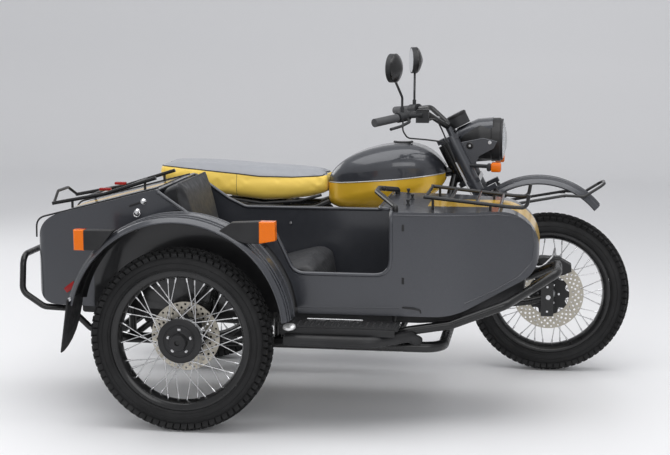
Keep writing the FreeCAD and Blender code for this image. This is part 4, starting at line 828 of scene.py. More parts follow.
# ------------------------------------------------------------------ springs and dampers
def spring_tree():
    """A coil spring along Z."""
    tree, given, out = new_tree("spring", Turns="Float", Radius="Float", Wire="Float",
                                Length="Float", Finish="Material")
    spiral = node(tree, "GeometryNodeCurveSpiral", Resolution=20, Rotations=given.outputs["Turns"],
                  Start_Radius=given.outputs["Radius"], End_Radius=given.outputs["Radius"],
                  Height=given.outputs["Length"])
    section = node(tree, "GeometryNodeCurvePrimitiveCircle", Resolution=10,
                   Radius=given.outputs["Wire"])
    sweep = node(tree, "GeometryNodeCurveToMesh", Curve=spiral.outputs[0],
                 Profile_Curve=section.outputs[0], Fill_Caps=True)
    end_tree(tree, sweep.outputs[0], given.outputs["Finish"], out)
    return tree


SPRINGS = spring_tree()


SPRING_RADIUS, SPRING_WIRE, SPRING_FOOT = 23, 4.2, 52


def damper(name, low, high, body, turns=11):
    """Spring damper from its lower eye to its upper eye, both in millimetres."""
    start, end = at(*low), at(*high)
    run = end - start
    length = run.length / MM
    way = run.normalized()
    profile = [(0, 8), (16, 8), (20, 12), (27.5, 40), (27.5, SPRING_FOOT), (24, 54), (15, 55),
               (15, length * 0.52), (6.5, length * 0.52 + 1), (6.5, length - 70), (20, length - 69),
               (27.5, length - 66), (27.5, length - 58), (22, length - 40), (20, length - 10),
               (16, length - 7), (0, length - 7)]
    shape = lathe(bmesh.new(), profile, start, way, 40)
    for place in (start, end):
        lathe(shape, [(6, -15), (16, -15), (17, -13), (17, 13), (16, 15), (6, 15)], place, Y, 36)
    body_piece = keep(name + "_body", to_mesh("damper", shape), ENAMEL, body, 35)
    seed = bpy.data.meshes.new("seed")
    spring = grow(name + "_spring", seed, SPRINGS, ENAMEL, body, "black_paint", 60,
                  Turns=float(turns), Radius=SPRING_RADIUS * MM, Wire=SPRING_WIRE * MM,
                  Length=(length - 118) * MM)
    place = Matrix.Translation(start + way * SPRING_FOOT * MM) @ frame_of(way).to_4x4()
    spring.data.transform(place)
    spring.data.update()
    return body_piece


front = [damper("front_damper_right", (-16, -129, 55), (-241, -120, 448), "steering"),
         damper("front_damper_left", (-16, 129, 55), (-241, 120, 448), "steering")]
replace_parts(front[0], "front_shocks")
rear = [damper("rear_damper_right", (-1450, -147, 8), (-1400, -147, 356), "chassis", 9),
        damper("rear_damper_left", (-1450, 147, 8), (-1400, 147, 356), "chassis", 9)]
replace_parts(rear[0], "rear_shocks")


# ------------------------------------------------------------------ places on the CAD surfaces
TREES = {}


def ray_tree(mesh):
    """What rays are cast against."""
    return BVHTree.FromPolygons([v.co for v in mesh.vertices], [p.vertices for p in mesh.polygons])


def surface(name):
    """A node's surface for rays."""
    if name not in TREES:
        TREES[name] = ray_tree(frame["nodes"][name].data)
    return TREES[name]


def touch(name, start, direction):
    """Where a ray from a place in millimetres first meets a node: (millimetres, normal)."""
    hit, normal, _, _ = surface(name).ray_cast(at(*start), Vector(direction))
    if hit is None:
        return None, None
    return (hit - FRONT_AXLE) / MM, normal


def strand(name, paths, radius, material, body, sides):
    """Round beads, cables or piping along lists of millimetre points."""
    shape = bmesh.new()
    for path in paths:
        tube(shape, [at(*p) for p in path], radius, sides)
    return keep(name, to_mesh(name, shape, 1e-7), material, body, 50)


def bent(points, radius, steps=6):
    """Rounded path, back in millimetres."""
    return [tuple((p - FRONT_AXLE) / MM) for p in rounded_path(points, radius, steps)]


def solid(name, parts, material, body):
    """parts: (centre in mm, size, bevel, and a turn if it has one)."""
    shape = bmesh.new()
    for centre, *rest in parts:
        box_into(shape, at(*centre), *rest)
    return keep(name, to_mesh(name, shape, 1e-7), material, body, 35)


def extruded(name, outline, low_y, high_y, material, body, bevel):
    """A side-view outline of (x, z) points between two side distances, its edges rounded."""
    curve_points = [(x - outline[0][0], z - outline[0][1]) for x, z in outline]
    shape = plate_with_holes(curve_points, [], high_y - low_y, bevel)
    stood(shape, at(outline[0][0], (low_y + high_y) / 2, outline[0][1]))
    return keep(name, to_mesh(name, shape, 1e-5), material, body, 35)


def turned_piece(name, items, material, body, steps):
    """items: (profile, centre in mm, axis)."""
    shape = bmesh.new()
    for profile, centre, axis in items:
        lathe(shape, profile, at(*centre), axis, steps)
    return keep(name, to_mesh(name, shape), material, body, 35)


# ------------------------------------------------------------------ sidecar body
NEAR_Y, FAR_Y, DECK_Z = -987.5, -402.5, 462
RIM_SIDE = [(-1440, 521), (-1300, 425), (-1230, 392)]
rim_path = [(x, NEAR_Y, z) for x, z in RIM_SIDE] + [
    (-1035, NEAR_Y, 392), (-1000, NEAR_Y, 385), (-925, NEAR_Y, 229), (-569, NEAR_Y, 229),
    (-569, NEAR_Y, 463), (-569, -900, 463), (-622, -896, 463), (-622, FAR_Y, 463),
    (-650, FAR_Y, 392), (-1230, FAR_Y, 392), (-1300, FAR_Y, 425), (-1440, FAR_Y, 521)]
strand("cockpit_rolled_edge", [bent(rim_path, 62)], 7.5, PAINT, "chassis", 14)
lid_edge = [(-1931, 333), (-1930, 405), (-1450, 529.5)]
for side, edge_y in (("near", MID_Y - 237.6), ("far", MID_Y + 237.6)):
    strand(f"lid_weather_strip_{side}",
           [bent([(x, edge_y, z) for x, z in lid_edge], 120, 12)], 3.4, RUBBER, "chassis",
           8)
strand("lid_front_strip", [[(-1468, MID_Y - 236, 523), (-1468, MID_Y + 236, 523)]], 3.4, RUBBER,
       "chassis", 8)

slots, knobs = bmesh.new(), bmesh.new()
for x, z in ((-525, 406), (-524, 211)):
    place, normal = touch("sidecar_tub", (x, -1200, z), (0, 1, 0))
    box_into(slots, at(*place), (9, 3, 24), 1)
    box_into(slots, at(place.x, place.y - 0.6, place.z), (4, 3, 18), 0.6)
keep("body_slot_plugs", to_mesh("slots", slots, 1e-7), RUBBER, "chassis", 30)
for x, y in ((-528, -778), (-528, -610), (-560, -440), (-560, -950)):
    lathe(knobs, [(0, 0), (9, 0), (9, 3), (4.5, 5), (4.5, 12), (7, 14), (7, 20), (5, 22), (0, 22)],
          at(x, y, DECK_Z), Z, 20)
keep("deck_fixing_knobs", to_mesh("knobs", knobs), PLASTIC, "chassis", 35)

# Latch on the near side of the trunk: a lever and two bright round locks, one with a ring.
latch_y = touch("sidecar_tub", (-1492, -1200, 470), (0, 1, 0))[0].y
lock = [(0, 0), (11, 0), (11, 3), (9, 5), (7.5, 6), (7.5, 12), (5, 14), (0, 14)]
turned_piece("trunk_locks", [(lock, (-1492, latch_y, 484), (0, -1, 0)),
                             (lock, (-1516, latch_y, 446), (0, -1, 0))],
             CHROME, "chassis", 28)
solid("trunk_latch_lever", [((-1522, latch_y - 3, 474), (52, 5, 7), 1.5,
                             Matrix.Rotation(math.radians(-19), 3, "Y"))],
      SATIN_BLACK, "chassis")
ring = [(-1516 + 12 * math.cos(a), latch_y - 8, 438 + 11 * math.sin(a))
        for a in (TAU * i / 20 for i in range(20))]
shape = bmesh.new()
tube(shape, [at(*p) for p in ring], 2, 8, True)
keep("trunk_lock_ring", to_mesh("ring", shape), CHROME, "chassis", 50)

# Beads pressed into the tub's sides, and its drain hose.
def side_bead(name, points, side_from, radius=3.0, bend=60):
    """A pressed bead laid on the tub's side along (x, z) points."""
    path = []
    for x, _, z in bent([(x, 0, z) for x, z in points], bend):
        place, _ = touch("sidecar_tub", (x, side_from, z), (0, 1 if side_from < MID_Y else -1, 0))
        if place is not None:
            path.append(tuple(place))
    strand(name, [path], radius, PAINT, "chassis", 10)


def spaced(points, step=25):
    """Extra points so that no step is longer than this."""
    out = []
    for (x0, z0), (x1, z1) in zip(points, points[1:]):
        count = max(1, int(math.hypot(x1 - x0, z1 - z0) / step))
        out += [(x0 + (x1 - x0) * i / count, z0 + (z1 - z0) * i / count) for i in range(count)]
    return out + [points[-1]]


side_bead("far_side_upper_bead", spaced([(-1400, 330), (-500, 330)]), 200)
side_bead("far_side_lower_bead", spaced([(-1700, 160), (-420, 160)]), 200)
side_bead("near_side_lower_bead", spaced([(-904, 102), (-534, 111)]), -1300, 1.6)
side_bead("near_side_top_bead",
          spaced([(-560, 452), (-190, 453), (-110, 440), (-66, 405), (-54, 340), (-62, 270),
                  (-110, 220), (-190, 176), (-300, 130)], 18), -1300, 2.6, 70)
strand("tub_drain_hose", [bent([(-525, -984, 111), (-522, -994, 113), (-482, -996, 110),
                                (-459, -992, 104), (-457, -984, 84)], 12)], 3, RUBBER, "chassis",
       8)

# ------------------------------------------------------------------ mudguards
BEAD_GAP = 0.4


def guard_beads(name, centre, radius, half, drop, start, sweep, body, beads):
    """Beads along a mudguard: each at a share of its half width; the outer ones roll the edge."""
    paths = []
    shoulder = SHOULDER_FALL / (EDGE_SHARE - CROWN_SHARE)
    edge = (drop - SHOULDER_FALL) / (1 - EDGE_SHARE)
    steps = int(sweep / 3)
    for share in beads:
        far = abs(share)
        height = radius + BEAD_GAP - shoulder * max(0, min(far, EDGE_SHARE) - CROWN_SHARE) \
            - edge * max(0, far - EDGE_SHARE)
        across = half * share * (0.985 if far > 0.95 else 1)
        angles = [math.radians(start + sweep * i / steps) for i in range(steps + 1)]
        paths.append([(centre[0] + height * math.cos(a), centre[1] + across,
                       centre[2] + height * math.sin(a)) for a in angles])
    strand(name, paths, 3.4, PAINT, body, 10)


guard_beads("sidecar_guard_beads", (-1320, -1130, 47), 415.5, 85, 24, 6, 162, "chassis",
            (-0.985, -0.66, -0.4, 0.4, 0.66, 0.985))
guard_beads("front_guard_beads", (-48, 0, 164), 330.5, 68, 27, 40, 152, "steering",
            (-0.98, -0.6, -0.36, 0.36, 0.6, 0.98))
guard_beads("rear_guard_beads", (-1490, 0, 0), 364.5, 75, 24, 58, 110, "chassis",
            (-0.98, -0.6, -0.36, 0.36, 0.6, 0.98))

# ------------------------------------------------------------------ fender lamps
LENS_Y = (-1208, -1168)
front_box = extruded("front_marker_housing", [(-1168, 403), (-1112, 441), (-1012, 447),
                                              (-1012, 372), (-1062, 372)],
                     LENS_Y[0] + 1, LENS_Y[1] - 1, SATIN_BLACK, "chassis", 2.5)
extruded("rear_marker_housing", [(-1655, 334), (-1600, 334), (-1548, 404), (-1655, 402)],
         LENS_Y[0] + 1, LENS_Y[1] - 1, SATIN_BLACK, "chassis", 2.5)
extruded("front_marker_lens", [(-1010.5, 374), (-1010.5, 446), (-959, 446), (-957, 384)],
         LENS_Y[0], LENS_Y[1], AMBER, "chassis", 3)
extruded("rear_marker_lens", [(-1689, 334), (-1690, 403), (-1656.5, 403), (-1656.5, 334)],
         LENS_Y[0], LENS_Y[1] - 12, AMBER, "chassis", 3)
extruded("rear_marker_red_lens", [(-1689, 338), (-1690, 403), (-1656.5, 403), (-1656.5, 338)],
         LENS_Y[1] - 11, LENS_Y[1], RED, "chassis", 3)
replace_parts(front_box, "fender_lamps")

# ------------------------------------------------------------------ reflectors, lamps on the rack
place, normal = touch("sidecar_tub", (-1790, -1300, 150), (0, 1, 0))
solid("side_reflector", [(tuple(place + Vector((0, -3, 0))), (48, 7, 22), 2,
                          Matrix.Rotation(math.radians(-38), 3, "Y"))], RED, "chassis")
solid("rack_brake_lamps", [((-1700, MID_Y - 100, 503), (46, 20, 11), 3),
                           ((-1700, MID_Y + 100, 503), (46, 20, 11), 3)], RED, "trunk_lid")

# ------------------------------------------------------------------ lamp, gauge and mirrors
LAMP_Z = 647
LAMP_FACE = (-212.6, 0, LAMP_Z)
turned_piece("headlight_rim", [([(80, 213), (87.5, 213), (90.5, 216), (91.5, 224), (91.5, 250),
                                 (89, 253), (87.6, 253), (87.6, 262), (86.5, 262), (86.5, 216),
                                 (80, 214.5)], (-465, 0, LAMP_Z), X)],
             SATIN_BLACK, "steering", 72)
bowl = [(80.5, 0), (80.5, 8), (76, 12), (62, 17), (44, 21.5), (22, 24.6), (0, 25.6), (0, 23.6),
        (22, 22.6), (44, 19.5), (60, 15.4), (74, 10.4), (78.3, 7), (78.3, 0)]
glass = turned_piece("headlight_glass", [(bowl, LAMP_FACE, X)], GLASS, "steering", 72)
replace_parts(glass, "headlight_lens")
turned_piece("headlight_reflector", [([(78, -0.0), (78, 1.4), (40, 0.9), (0, 0.7), (0, 0)],
                                      LAMP_FACE, X)], CHROME, "steering",
             72)
turned_piece("headlight_bulb_shield", [([(0, 1), (20, 1), (22, 4), (22, 9), (18, 12), (0, 13)],
                                        LAMP_FACE, X)], CHROME, "steering",
             40)
# Peaked cover from the gauge to the lamp's top edge.
cover = bmesh.new()
cover_rows = []
for i in range(9):
    t = i / 8
    x = -418 + 173 * t
    top = 657 + 30 * min(1, t / 0.05) + 47 * max(0, min(1, (t - 0.05) / 0.56)) \
        + 7 * max(0, (t - 0.61) / 0.39)
    half, low = 38 + 36 * t, min(top - 14, 640 + 42 * t)
    row = []
    for k in range(15):
        angle = math.pi * k / 14
        row.append(cover.verts.new(at(x, half * math.cos(angle) * (1 + 0.12 * math.sin(angle) ** 2),
                                      low + (top - low) * math.sin(angle) ** 0.55)))
    cover_rows.append(row)
for first, second in zip(cover_rows, cover_rows[1:]):
    for k in range(14):
        cover.faces.new((first[k], first[k + 1], second[k + 1], second[k]))
for row in (cover_rows[0], cover_rows[-1]):
    cover.faces.new(row)
cover.faces.new([r[0] for r in cover_rows] + [r[-1] for r in cover_rows[::-1]])
keep("headlight_top_cover", to_mesh("cover", cover), PAINT, "steering", 40)

UP = Vector((-0.45399, 0, 0.89101))
AHEAD = Vector((0.89101, 0, 0.45399))


def steer(up, ahead, side):
    """A place given along the steering axis, ahead of it and aside."""
    spot = Vector((-412, 0, 546)) + UP * up + AHEAD * ahead
    return (spot.x, side, spot.z)


gauge_top = Vector((-381, 0, 704)) + UP * 54
bezel = [(34, 0.2), (38, 0.2), (43.5, -3), (43.5, -9), (42.2, -12), (42.2, -2.5), (38, 1.6),
         (34, 1.6)]
turned_piece("gauge_bezel", [(bezel, tuple(gauge_top), UP)], SATIN_BLACK, "steering",
             60)
turned_piece("gauge_face", [([(0, 0.1), (34.5, 0.1), (34.5, 0.8), (0, 0.8)], tuple(gauge_top), UP)],
             SATIN_BLACK, "steering", 48)
dial = bmesh.new()
dial_turn = frame_of(UP)
for i in range(25):
    angle = math.radians(-220 + 260 * i / 24)
    long = 6 if i % 3 == 0 else 3.2
    centre = gauge_top + dial_turn @ Vector(((30 - long / 2) * math.cos(angle),
                                             (30 - long / 2) * math.sin(angle), 1.0))
    box_into(dial, at(*centre), (long, 1.1, 0.5), 0,
             dial_turn @ Matrix.Rotation(angle, 3, "Z"))
box_into(dial, at(*(gauge_top + dial_turn @ Vector((-8, -8, 1.4)))), (26, 1.8, 0.6), 0,
         dial_turn @ Matrix.Rotation(math.radians(225), 3, "Z"))
keep("gauge_marks_and_needle", to_mesh("dial", dial, 1e-8),
     grained("dial_white", (0.8, 0.8, 0.78), 0.5), "steering", 30)

for side, head in ((-1, (-634, -318, 956)), (1, (-612, 330, 968))):
    facing = Vector((-math.cos(math.radians(15)), -side * math.sin(math.radians(15)), 0))
    face_at = Vector(head) + facing * 16.1
    turned_piece(f"mirror_glass_{'right' if side < 0 else 'left'}",
                 [([(0, -0.4), (53, -0.4), (53, 0.5), (0, 0.5)], tuple(face_at), facing)],
                 MIRROR, "steering", 48)
    back_at = Vector(head) - facing * 4
    turned_piece(f"mirror_back_{'right' if side < 0 else 'left'}",
                 [([(58.4, -1), (59, 4), (52, 12), (38, 20), (20, 27), (8, 31), (0, 32), (0, 1),
                    (58.4, 1)], tuple(back_at), -facing)], ENAMEL, "steering", 48)

# ------------------------------------------------------------------ fuel tank
def on_tank(x, z, side):
    """Place on the tank's side."""
    return touch("fuel_tank", (x, side * 500, z), (0, -side, 0))[0]


def height_on(line, x):
    """Height of a colour line of (x, z) points."""
    for (x0, z0), (x1, z1) in zip(line, line[1:]):
        if x <= x1:
            return z0 + (z1 - z0) * (x - x0) / (x1 - x0)
    return line[-1][1]


paths = []
for side in (-1, 1):
    path = []
    for i in range(60):
        x = -934 + 515 * i / 59
        place = on_tank(x, height_on(TANK_LINE, x), side)
        if place is not None:
            path.append((place.x, place.y + side * 0.4, place.z))
    paths.append(path)
PINSTRIPE = grained("pale_pinstripe", (0.5, 0.5, 0.5), 0.3, 0.4, coat=1.0)
strand("tank_seam_bead", paths, 2.6, PINSTRIPE, "chassis", 8)
turned_piece("tank_cap_ring", [([(36.3, -9), (41, -9), (43, -6), (41, -2), (36.3, 0)],
                                (-627, 0, 637), Z)], RUBBER, "chassis", 48)

# ------------------------------------------------------------------ upholstery
CLOTH_FRAMES = 20


def settle(piece):
    """Makes a piece's modifiers part of its mesh."""
    bpy.context.view_layer.update()
    mesh = bpy.data.meshes.new_from_object(
        piece.evaluated_get(bpy.context.evaluated_depsgraph_get()))
    piece.modifiers.clear()
    piece.data = mesh


def softened(piece, factor, times):
    """Evens out small bumps."""
    change = piece.modifiers.new("soften", "SMOOTH")
    change.factor, change.iterations = factor, times
    settle(piece)


def stuffed(name, shape, material, held, cap, node, pressure=4.0, size=0.006, smoother=4):
    """Cloth over a rough form, swelled from inside; no place moves further than cap metres."""
    piece = keep(name, to_mesh(name, shape), material, "chassis", None)
    even = piece.modifiers.new("even_faces", "REMESH")
    even.mode = "VOXEL"
    even.voxel_size = size
    settle(piece)
    softened(piece, 0.5, 8)
    start = [v.co.copy() for v in piece.data.vertices]
    group = piece.vertex_groups.new(name="held")
    group.add([i for i, co in enumerate(start) if held((co - FRONT_AXLE) / MM)], 1.0, "REPLACE")
    cloth = piece.modifiers.new("cloth", "CLOTH")
    cloth.point_cache.frame_start, cloth.point_cache.frame_end = 1, CLOTH_FRAMES
    cloth.settings.effector_weights.gravity = 0
    for key, value in dict(quality=5, mass=0.3, tension_stiffness=15, compression_stiffness=15,
                           shear_stiffness=8, bending_stiffness=5.0, use_pressure=True,
                           uniform_pressure_force=pressure, vertex_group_mass="held").items():
        setattr(cloth.settings, key, value)
    for moment in range(1, CLOTH_FRAMES + 1):
        bpy.context.scene.frame_set(moment)
    settle(piece)
    for vertex, before in zip(piece.data.vertices, start):
        move = vertex.co - before
        if move.length > cap:
            vertex.co = before + move * (cap / move.length)
    bpy.context.scene.frame_set(1)
    piece.vertex_groups.clear()
    softened(piece, 0.5, smoother)
    piece.modifiers.new("finer", "SUBSURF").levels = 1
    settle(piece)
    shade(piece.data, 80)
    TREES[name] = ray_tree(piece.data)
    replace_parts(piece, node)
    return piece


def lofted(rings):
    """A closed form through rings of equal length."""
    shape = bmesh.new()
    loops = [[shape.verts.new(at(*p)) for p in ring] for ring in rings]
    for first, second in zip(loops, loops[1:]):
        for i in range(len(first)):
            shape.faces.new((first[i - 1], first[i], second[i], second[i - 1]))
    shape.faces.new(loops[0][::-1])
    shape.faces.new(loops[-1])
    return shape


def rounded_ring(x, half, low, high, radius, steps=7):
    """Rounded rectangle across the motorcycle at x."""
    radius = min(radius, half * 0.98, (high - low) * 0.49)
    return [(x, side * (half - radius) + radius * math.cos(a), level + radius * math.sin(a))
            for side, level, first in ((1, high - radius, 0), (-1, high - radius, 90),
                                       (-1, low + radius, 180), (1, low + radius, 270))
            for a in (math.radians(first + 90 * k / steps) for k in range(steps + 1))]


SEAT_LINE = [(-1700, 525), (-1620, 522), (-1459, 508), (-1326, 496), (-1237, 486), (-1088, 483),
             (-972, 488), (-930, 495)]
SEAT_SKIN = leather("light_grey_and_yellow_vinyl", (0.30, 0.31, 0.335), 0.06, 420,
                    under_line(SEAT_LINE), (0.86, 0.6, 0.1))
seat_forms = [(-943, 84, 424, 494, 30), (-955, 96, 415, 498, 36), (-1016, 108, 398, 504, 38),
              (-1127, 122, 385, 511, 40), (-1215, 131, 383, 515, 42), (-1315, 138, 394, 521, 44),
              (-1382, 142, 404, 525, 44), (-1460, 143, 415, 528, 44), (-1560, 141, 424, 530, 44),
              (-1620, 134, 440, 529, 42), (-1655, 122, 452, 526, 38), (-1670, 108, 460, 521, 34),
              (-1677, 92, 468, 513, 22)]
stuffed("rider_saddle", lofted([rounded_ring(*form) for form in seat_forms]), SEAT_SKIN,
        lambda p: p.z < SEAT_LINE[3][1] - 72, 0.009, "rider_seat", 4.0)


def seat_side(x, side, z=None):
    """Place on the saddle's side, on its colour line if no height is given."""
    z = height_on(SEAT_LINE, x) if z is None else z
    place, _ = touch("rider_saddle", (x, side * 300, z), (0, -side, 0))
    return None if place is None else (place.x, place.y, place.z)


near_run = [seat_side(-945 - 18 * i, -1) for i in range(40)]
far_run = [seat_side(-945 - 18 * i, 1) for i in range(40)]
rear_run = [touch("rider_saddle", (-1900, y, 523), (1, 0, 0))[0] for y in range(-96, 97, 16)]
front_run = [touch("rider_saddle", (-700, y, 494), (-1, 0, 0))[0] for y in range(72, -73, -24)]
loop = ([p for p in near_run if p and p[0] > -1655] + [tuple(p) for p in rear_run if p]
        + [p for p in far_run if p and p[0] > -1655][::-1] + [tuple(p) for p in front_run if p])
shape = bmesh.new()
tube(shape, [at(*p) for p in loop], 2.6, 10, True)
keep("saddle_piping", to_mesh("piping", shape, 1e-7), PIPING, "chassis", 60)
seams = []
for side in (-1, 1):
    run = [seat_side(-1329, side, z) for z in range(400, 497, 6)]
    seams.append([p for p in run if p])
strand("saddle_side_seams", seams, 0.9, PIPING, "chassis", 6)
strand("saddle_base_edge", [bent([(-965, side * 104, 409), (-1060, side * 116, 383),
                                  (-1215, side * 128, 372), (-1400, side * 136, 396),
                                  (-1560, side * 136, 415), (-1650, side * 118, 445)], 90)
                            for side in (-1, 1)], 6, RUBBER, "chassis", 8)

DARK_VINYL = leather("near_black_vinyl", (0.02, 0.0205, 0.023), 0.12, 460, sheen=0.02, depth=0.12)
inner = 233


def side_profile(outline, half, round_over, steps=6):
    """Rings of one side outline from the near face to the far one, its edges rounded over."""
    centre_x = sum(p[0] for p in outline) / len(outline)
    centre_z = sum(p[1] for p in outline) / len(outline)
    rings = []
    for side in (-1, 1):
        for k in range(steps + 1):
            a = math.radians(90 * (k if side < 0 else steps - k) / steps)
            inset = round_over * (1 - math.sin(a))
            y = MID_Y + side * (half - round_over * (1 - math.cos(a)))
            ring = []
            for x, z in outline:
                away = Vector((x - centre_x, z - centre_z))
                short = away * (1 - inset / max(away.length, inset + 20))
                ring.append((centre_x + short.x, y, centre_z + short.y))
            rings.append(ring)
    return rings


back_outline = [(-1440, 116), (-1440, 300), (-1440, 512), (-1384, 556), (-1360, 480),
                (-1330, 380), (-1288, 262), (-1270, 200), (-1268, 116)]
stuffed("sidecar_seat_back", lofted(side_profile(back_outline, inner - 4, 22)), DARK_VINYL,
        lambda p: p.x < -1434 or p.z < 122, 0.010, "seat_back", 4.0, 0.0066)
cushion_outline = [(-1256, 116), (-1256, 208), (-1150, 210), (-1040, 214), (-950, 236),
                   (-888, 250), (-854, 232), (-843, 150), (-850, 116)]
stuffed("sidecar_cushion", lofted(side_profile(cushion_outline, inner + 1, 30)), DARK_VINYL,
        lambda p: p.z < 122, 0.009, "seat_cushion", 2.6, 0.0066, 10)
paths = []
for side in (-1, 1):
    run = []
    for i in range(26):
        z = 160 + 15.2 * i
        place, _ = touch("sidecar_seat_back", (-1100, MID_Y + side * (inner - 14), z), (-1, 0, 0))
        if place is not None:
            run.append(tuple(place))
    paths.append(run)
top_run = [touch("sidecar_seat_back", (-1100, MID_Y + y, 541), (-1, 0, 0))[0]
           for y in range(-210, 211, 30)]
paths.append([tuple(p) for p in top_run if p])
strand("seat_back_piping", paths, 2.2, PIPING, "chassis", 8)
paths = []
for y in (-78, 78):
    run = [touch("sidecar_cushion", (x, MID_Y + y, 400), (0, 0, -1))[0]
           for x in range(-1240, -849, 15)]
    paths.append([(p.x, p.y, p.z - 0.2) for p in run if p])
strand("cushion_seams", paths, 1.4, PIPING, "chassis", 6)

# ------------------------------------------------------------------ step, damper, trims
damper("side_damper", (-1300, -1022, 4), (-1225, -1022, 190), "chassis")
tread = bmesh.new()
for i in range(17):
    for k in range(4):
        if i % 2 and k == 3:
            continue
        centre = at(-946 + 25 * i, -1095 + 24 * k + (12 if i % 2 else 0), 60)
        lathe(tread, [(4.2, 0), (4.2, 2.2), (5.2, 2.6), (6.6, 1.8), (7.6, 0)], centre, Z, 14)
keep("step_tread_rings", to_mesh("tread", tread), SATIN_BLACK, "chassis", 30)
strand("step_inner_strip", [[(-875, -1000, 62), (-669, -1000, 62)]], 3, STEEL, "chassis",
       10)
solid("step_skirt", [((-749, -1109, 39), (418, 6, 26), 2)], SATIN_BLACK, "chassis")
turned_piece("step_end_cap", [([(0, -2), (16, -2), (22, 0), (24, 4), (22, 10), (14, 14), (0, 15)],
                               (-921, -1120, 51), (0, -0.25, 1))],
             grained("white_metal_cap", (0.78, 0.78, 0.78), 0.3, 0.6), "chassis",
             36)


def on(name, x, y, z, way, size=1.0):
    """A bolt row where a ray meets a node, facing back along it."""
    place, _ = touch(name, (x, y, z), way)
    return [] if place is None else [(*place, tuple(-c for c in way), size)]


RIGHT_WAY, LEFT_WAY, DOWN = (0, 1, 0), (0, -1, 0), (0, 0, -1)
rows = []
for name, x, y, z, size in (("sidecar_fender", -1713, -1400, 149, 1.0),
                            ("sidecar_fender", -1689, -1400, 126, 1.0),
                            ("sidecar_tub", -1045, -600, 330, 0.7)):
    rows += on(name, x, y, z, RIGHT_WAY, size)
for x, z in ((-600, 160), (-600, -20), (-752, 160), (-752, -34), (-676, -52), (-582, 70)):
    rows += on("engine_block", x, -300, z, RIGHT_WAY) + on("engine_block", x, 300, z, LEFT_WAY)
for side, way in ((-1, RIGHT_WAY), (1, LEFT_WAY)):
    for angle in (45, 135, 225, 315):
        rows += on("cylinders", -680 + 52 * math.cos(math.radians(angle)), side * 600,
                   82 + 52 * math.sin(math.radians(angle)), way, 1.2)
    for name, x, z, size in (("rear_swing_arm", -1490, 0, 2.0), ("rear_swing_arm", -990, 0, 1.6),
                             ("side_covers", -1010, 330, 0.8), ("side_covers", -1180, 330, 0.8),
                             ("motorcycle_frame", -560, 300, 1.2),
                             ("centre_stand", -960, -150, 1.4),
                             ("rear_fender", -1560, 330, 0.9), ("rear_fender", -1700, 250, 0.9)):
        rows += on(name, x, side * 400, z, way, size)
for side in (-1, 1):
    rows += on("trunk_lid", -1880, MID_Y + side * 180, 700, DOWN, 0.6)
bolts("chassis_fixings", rows, "chassis", 6.0, 4.6)
rows = []
for x, z in ((-18, 140), (34, 138), (66, 112)):
    rows += on("front_caliper", x, -300, z, RIGHT_WAY, 1.0)
for side, way in ((-1, RIGHT_WAY), (1, LEFT_WAY)):
    for name, x, z, size in (("leading_link", 0, 0, 1.2), ("leading_link", -4, 44, 0.55),
                             ("leading_link", -4, -60, 0.55), ("leading_link", -150, -60, 1.2),
                             ("front_fender", -180, 430, 0.9), ("front_fender", 90, 410, 0.9)):
        rows += on(name, x, side * 300, z, way, size)
    rows.append((*steer(196, 18, side * 62), tuple(UP), 1.3))
    rows += on("headlight_shell", -300, side * 300, 647, way, 0.01)
bolts("steering_fixings", rows, "steering", 6.0, 4.6)
caps = [(0, 0), (16, 0), (16, 6), (13, 9), (0, 9.5)]
turned_piece("yoke_stem_nut", [(caps, steer(203, 0, 0), UP)], CHROME, "steering", 6)

# Lamp ears with their bolts.
EAR_LINE = [(-390, 637), (-283, 659), (-226, 646), (-240, 618), (-300, 585), (-330, 520),
            (-375, 540)]
for side in (-1, 1):
    low, high = sorted((side * 96.4, side * 99.4))
    extruded(f"lamp_ear_{'right' if side < 0 else 'left'}", EAR_LINE, low, high, PAINT, "steering",
             1.2)
bolts("lamp_ear_bolts", [(x, side * 99.4, z, (0, side, 0), size) for side in (-1, 1)
                         for x, z, size in ((-255, 642, 0.9), (-338, 628, 0.8), (-352, 560, 0.7))],
      "steering", 6.2, 4.6)
ring = [(0, 0), (15, 0), (15, 3), (11, 4), (9.5, 2.4), (0, 2.4)]
turned_piece("lamp_ear_rings", [(ring, (-338, side * 99.4, 628), (0, side, 0)) for side in (-1, 1)],
             ENAMEL, "steering", 36)

# Indicators: black stalks and backs, amber fronts.
shape, lenses = bmesh.new(), bmesh.new()
for side in (-1, 1):
    tube(shape, [at(-335, side * 112, 546), at(-236, side * 180, 549)], 8, 16)
    box_into(shape, at(-252, side * 204, 549), (18, 54, 30), 7)
    box_into(lenses, at(-223, side * 204, 550), (42, 61, 37), 7)
backs = keep("indicator_backs", to_mesh("backs", shape, 1e-7), PLASTIC, "steering",
             35)
keep("indicator_lenses", to_mesh("lenses", lenses, 1e-7), AMBER, "steering", 35)
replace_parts(backs, "front_indicators")

# Controls on the bars, tail lamp, pegs, exhaust clamps, cylinder covers and leads.
place, _ = touch("hand_controls", (-523, -235, 900), DOWN)
if place is not None:
    solid("reservoir_cap", [((place.x, place.y, place.z + 2.2), (50, 38, 6), 2.2)], SATIN_BLACK,
          "steering")
solid("tail_lamp_lens", [((-1856, 0, 183), (7, 78, 56), 3)], RED, "chassis")
solid("number_plate_blank", [((-1859.2, 0, 95), (2.2, 180, 120), 0.9)],
      grained("plate_white", (0.72, 0.72, 0.7), 0.5), "chassis")
solid("footpeg_rubbers", [((-870, side * (200 + 28 * k), -58), (30, 20, 30), 5)
                          for side in (-1, 1) for k in range(2)], RUBBER, "chassis")
clamp = [(42.4, 0), (45.6, 0.6), (45.6, 15.4), (42.4, 16)]
turned_piece("silencer_clamps", [(clamp, (x, side * 228, -98), (-1, 0, 0))
                                 for side in (-1, 1) for x in (-1180, -1560)], STEEL, "chassis",
             44)
cover = [(0, 14), (30, 13), (52, 8), (60, 2), (60, -1), (0, -1)]
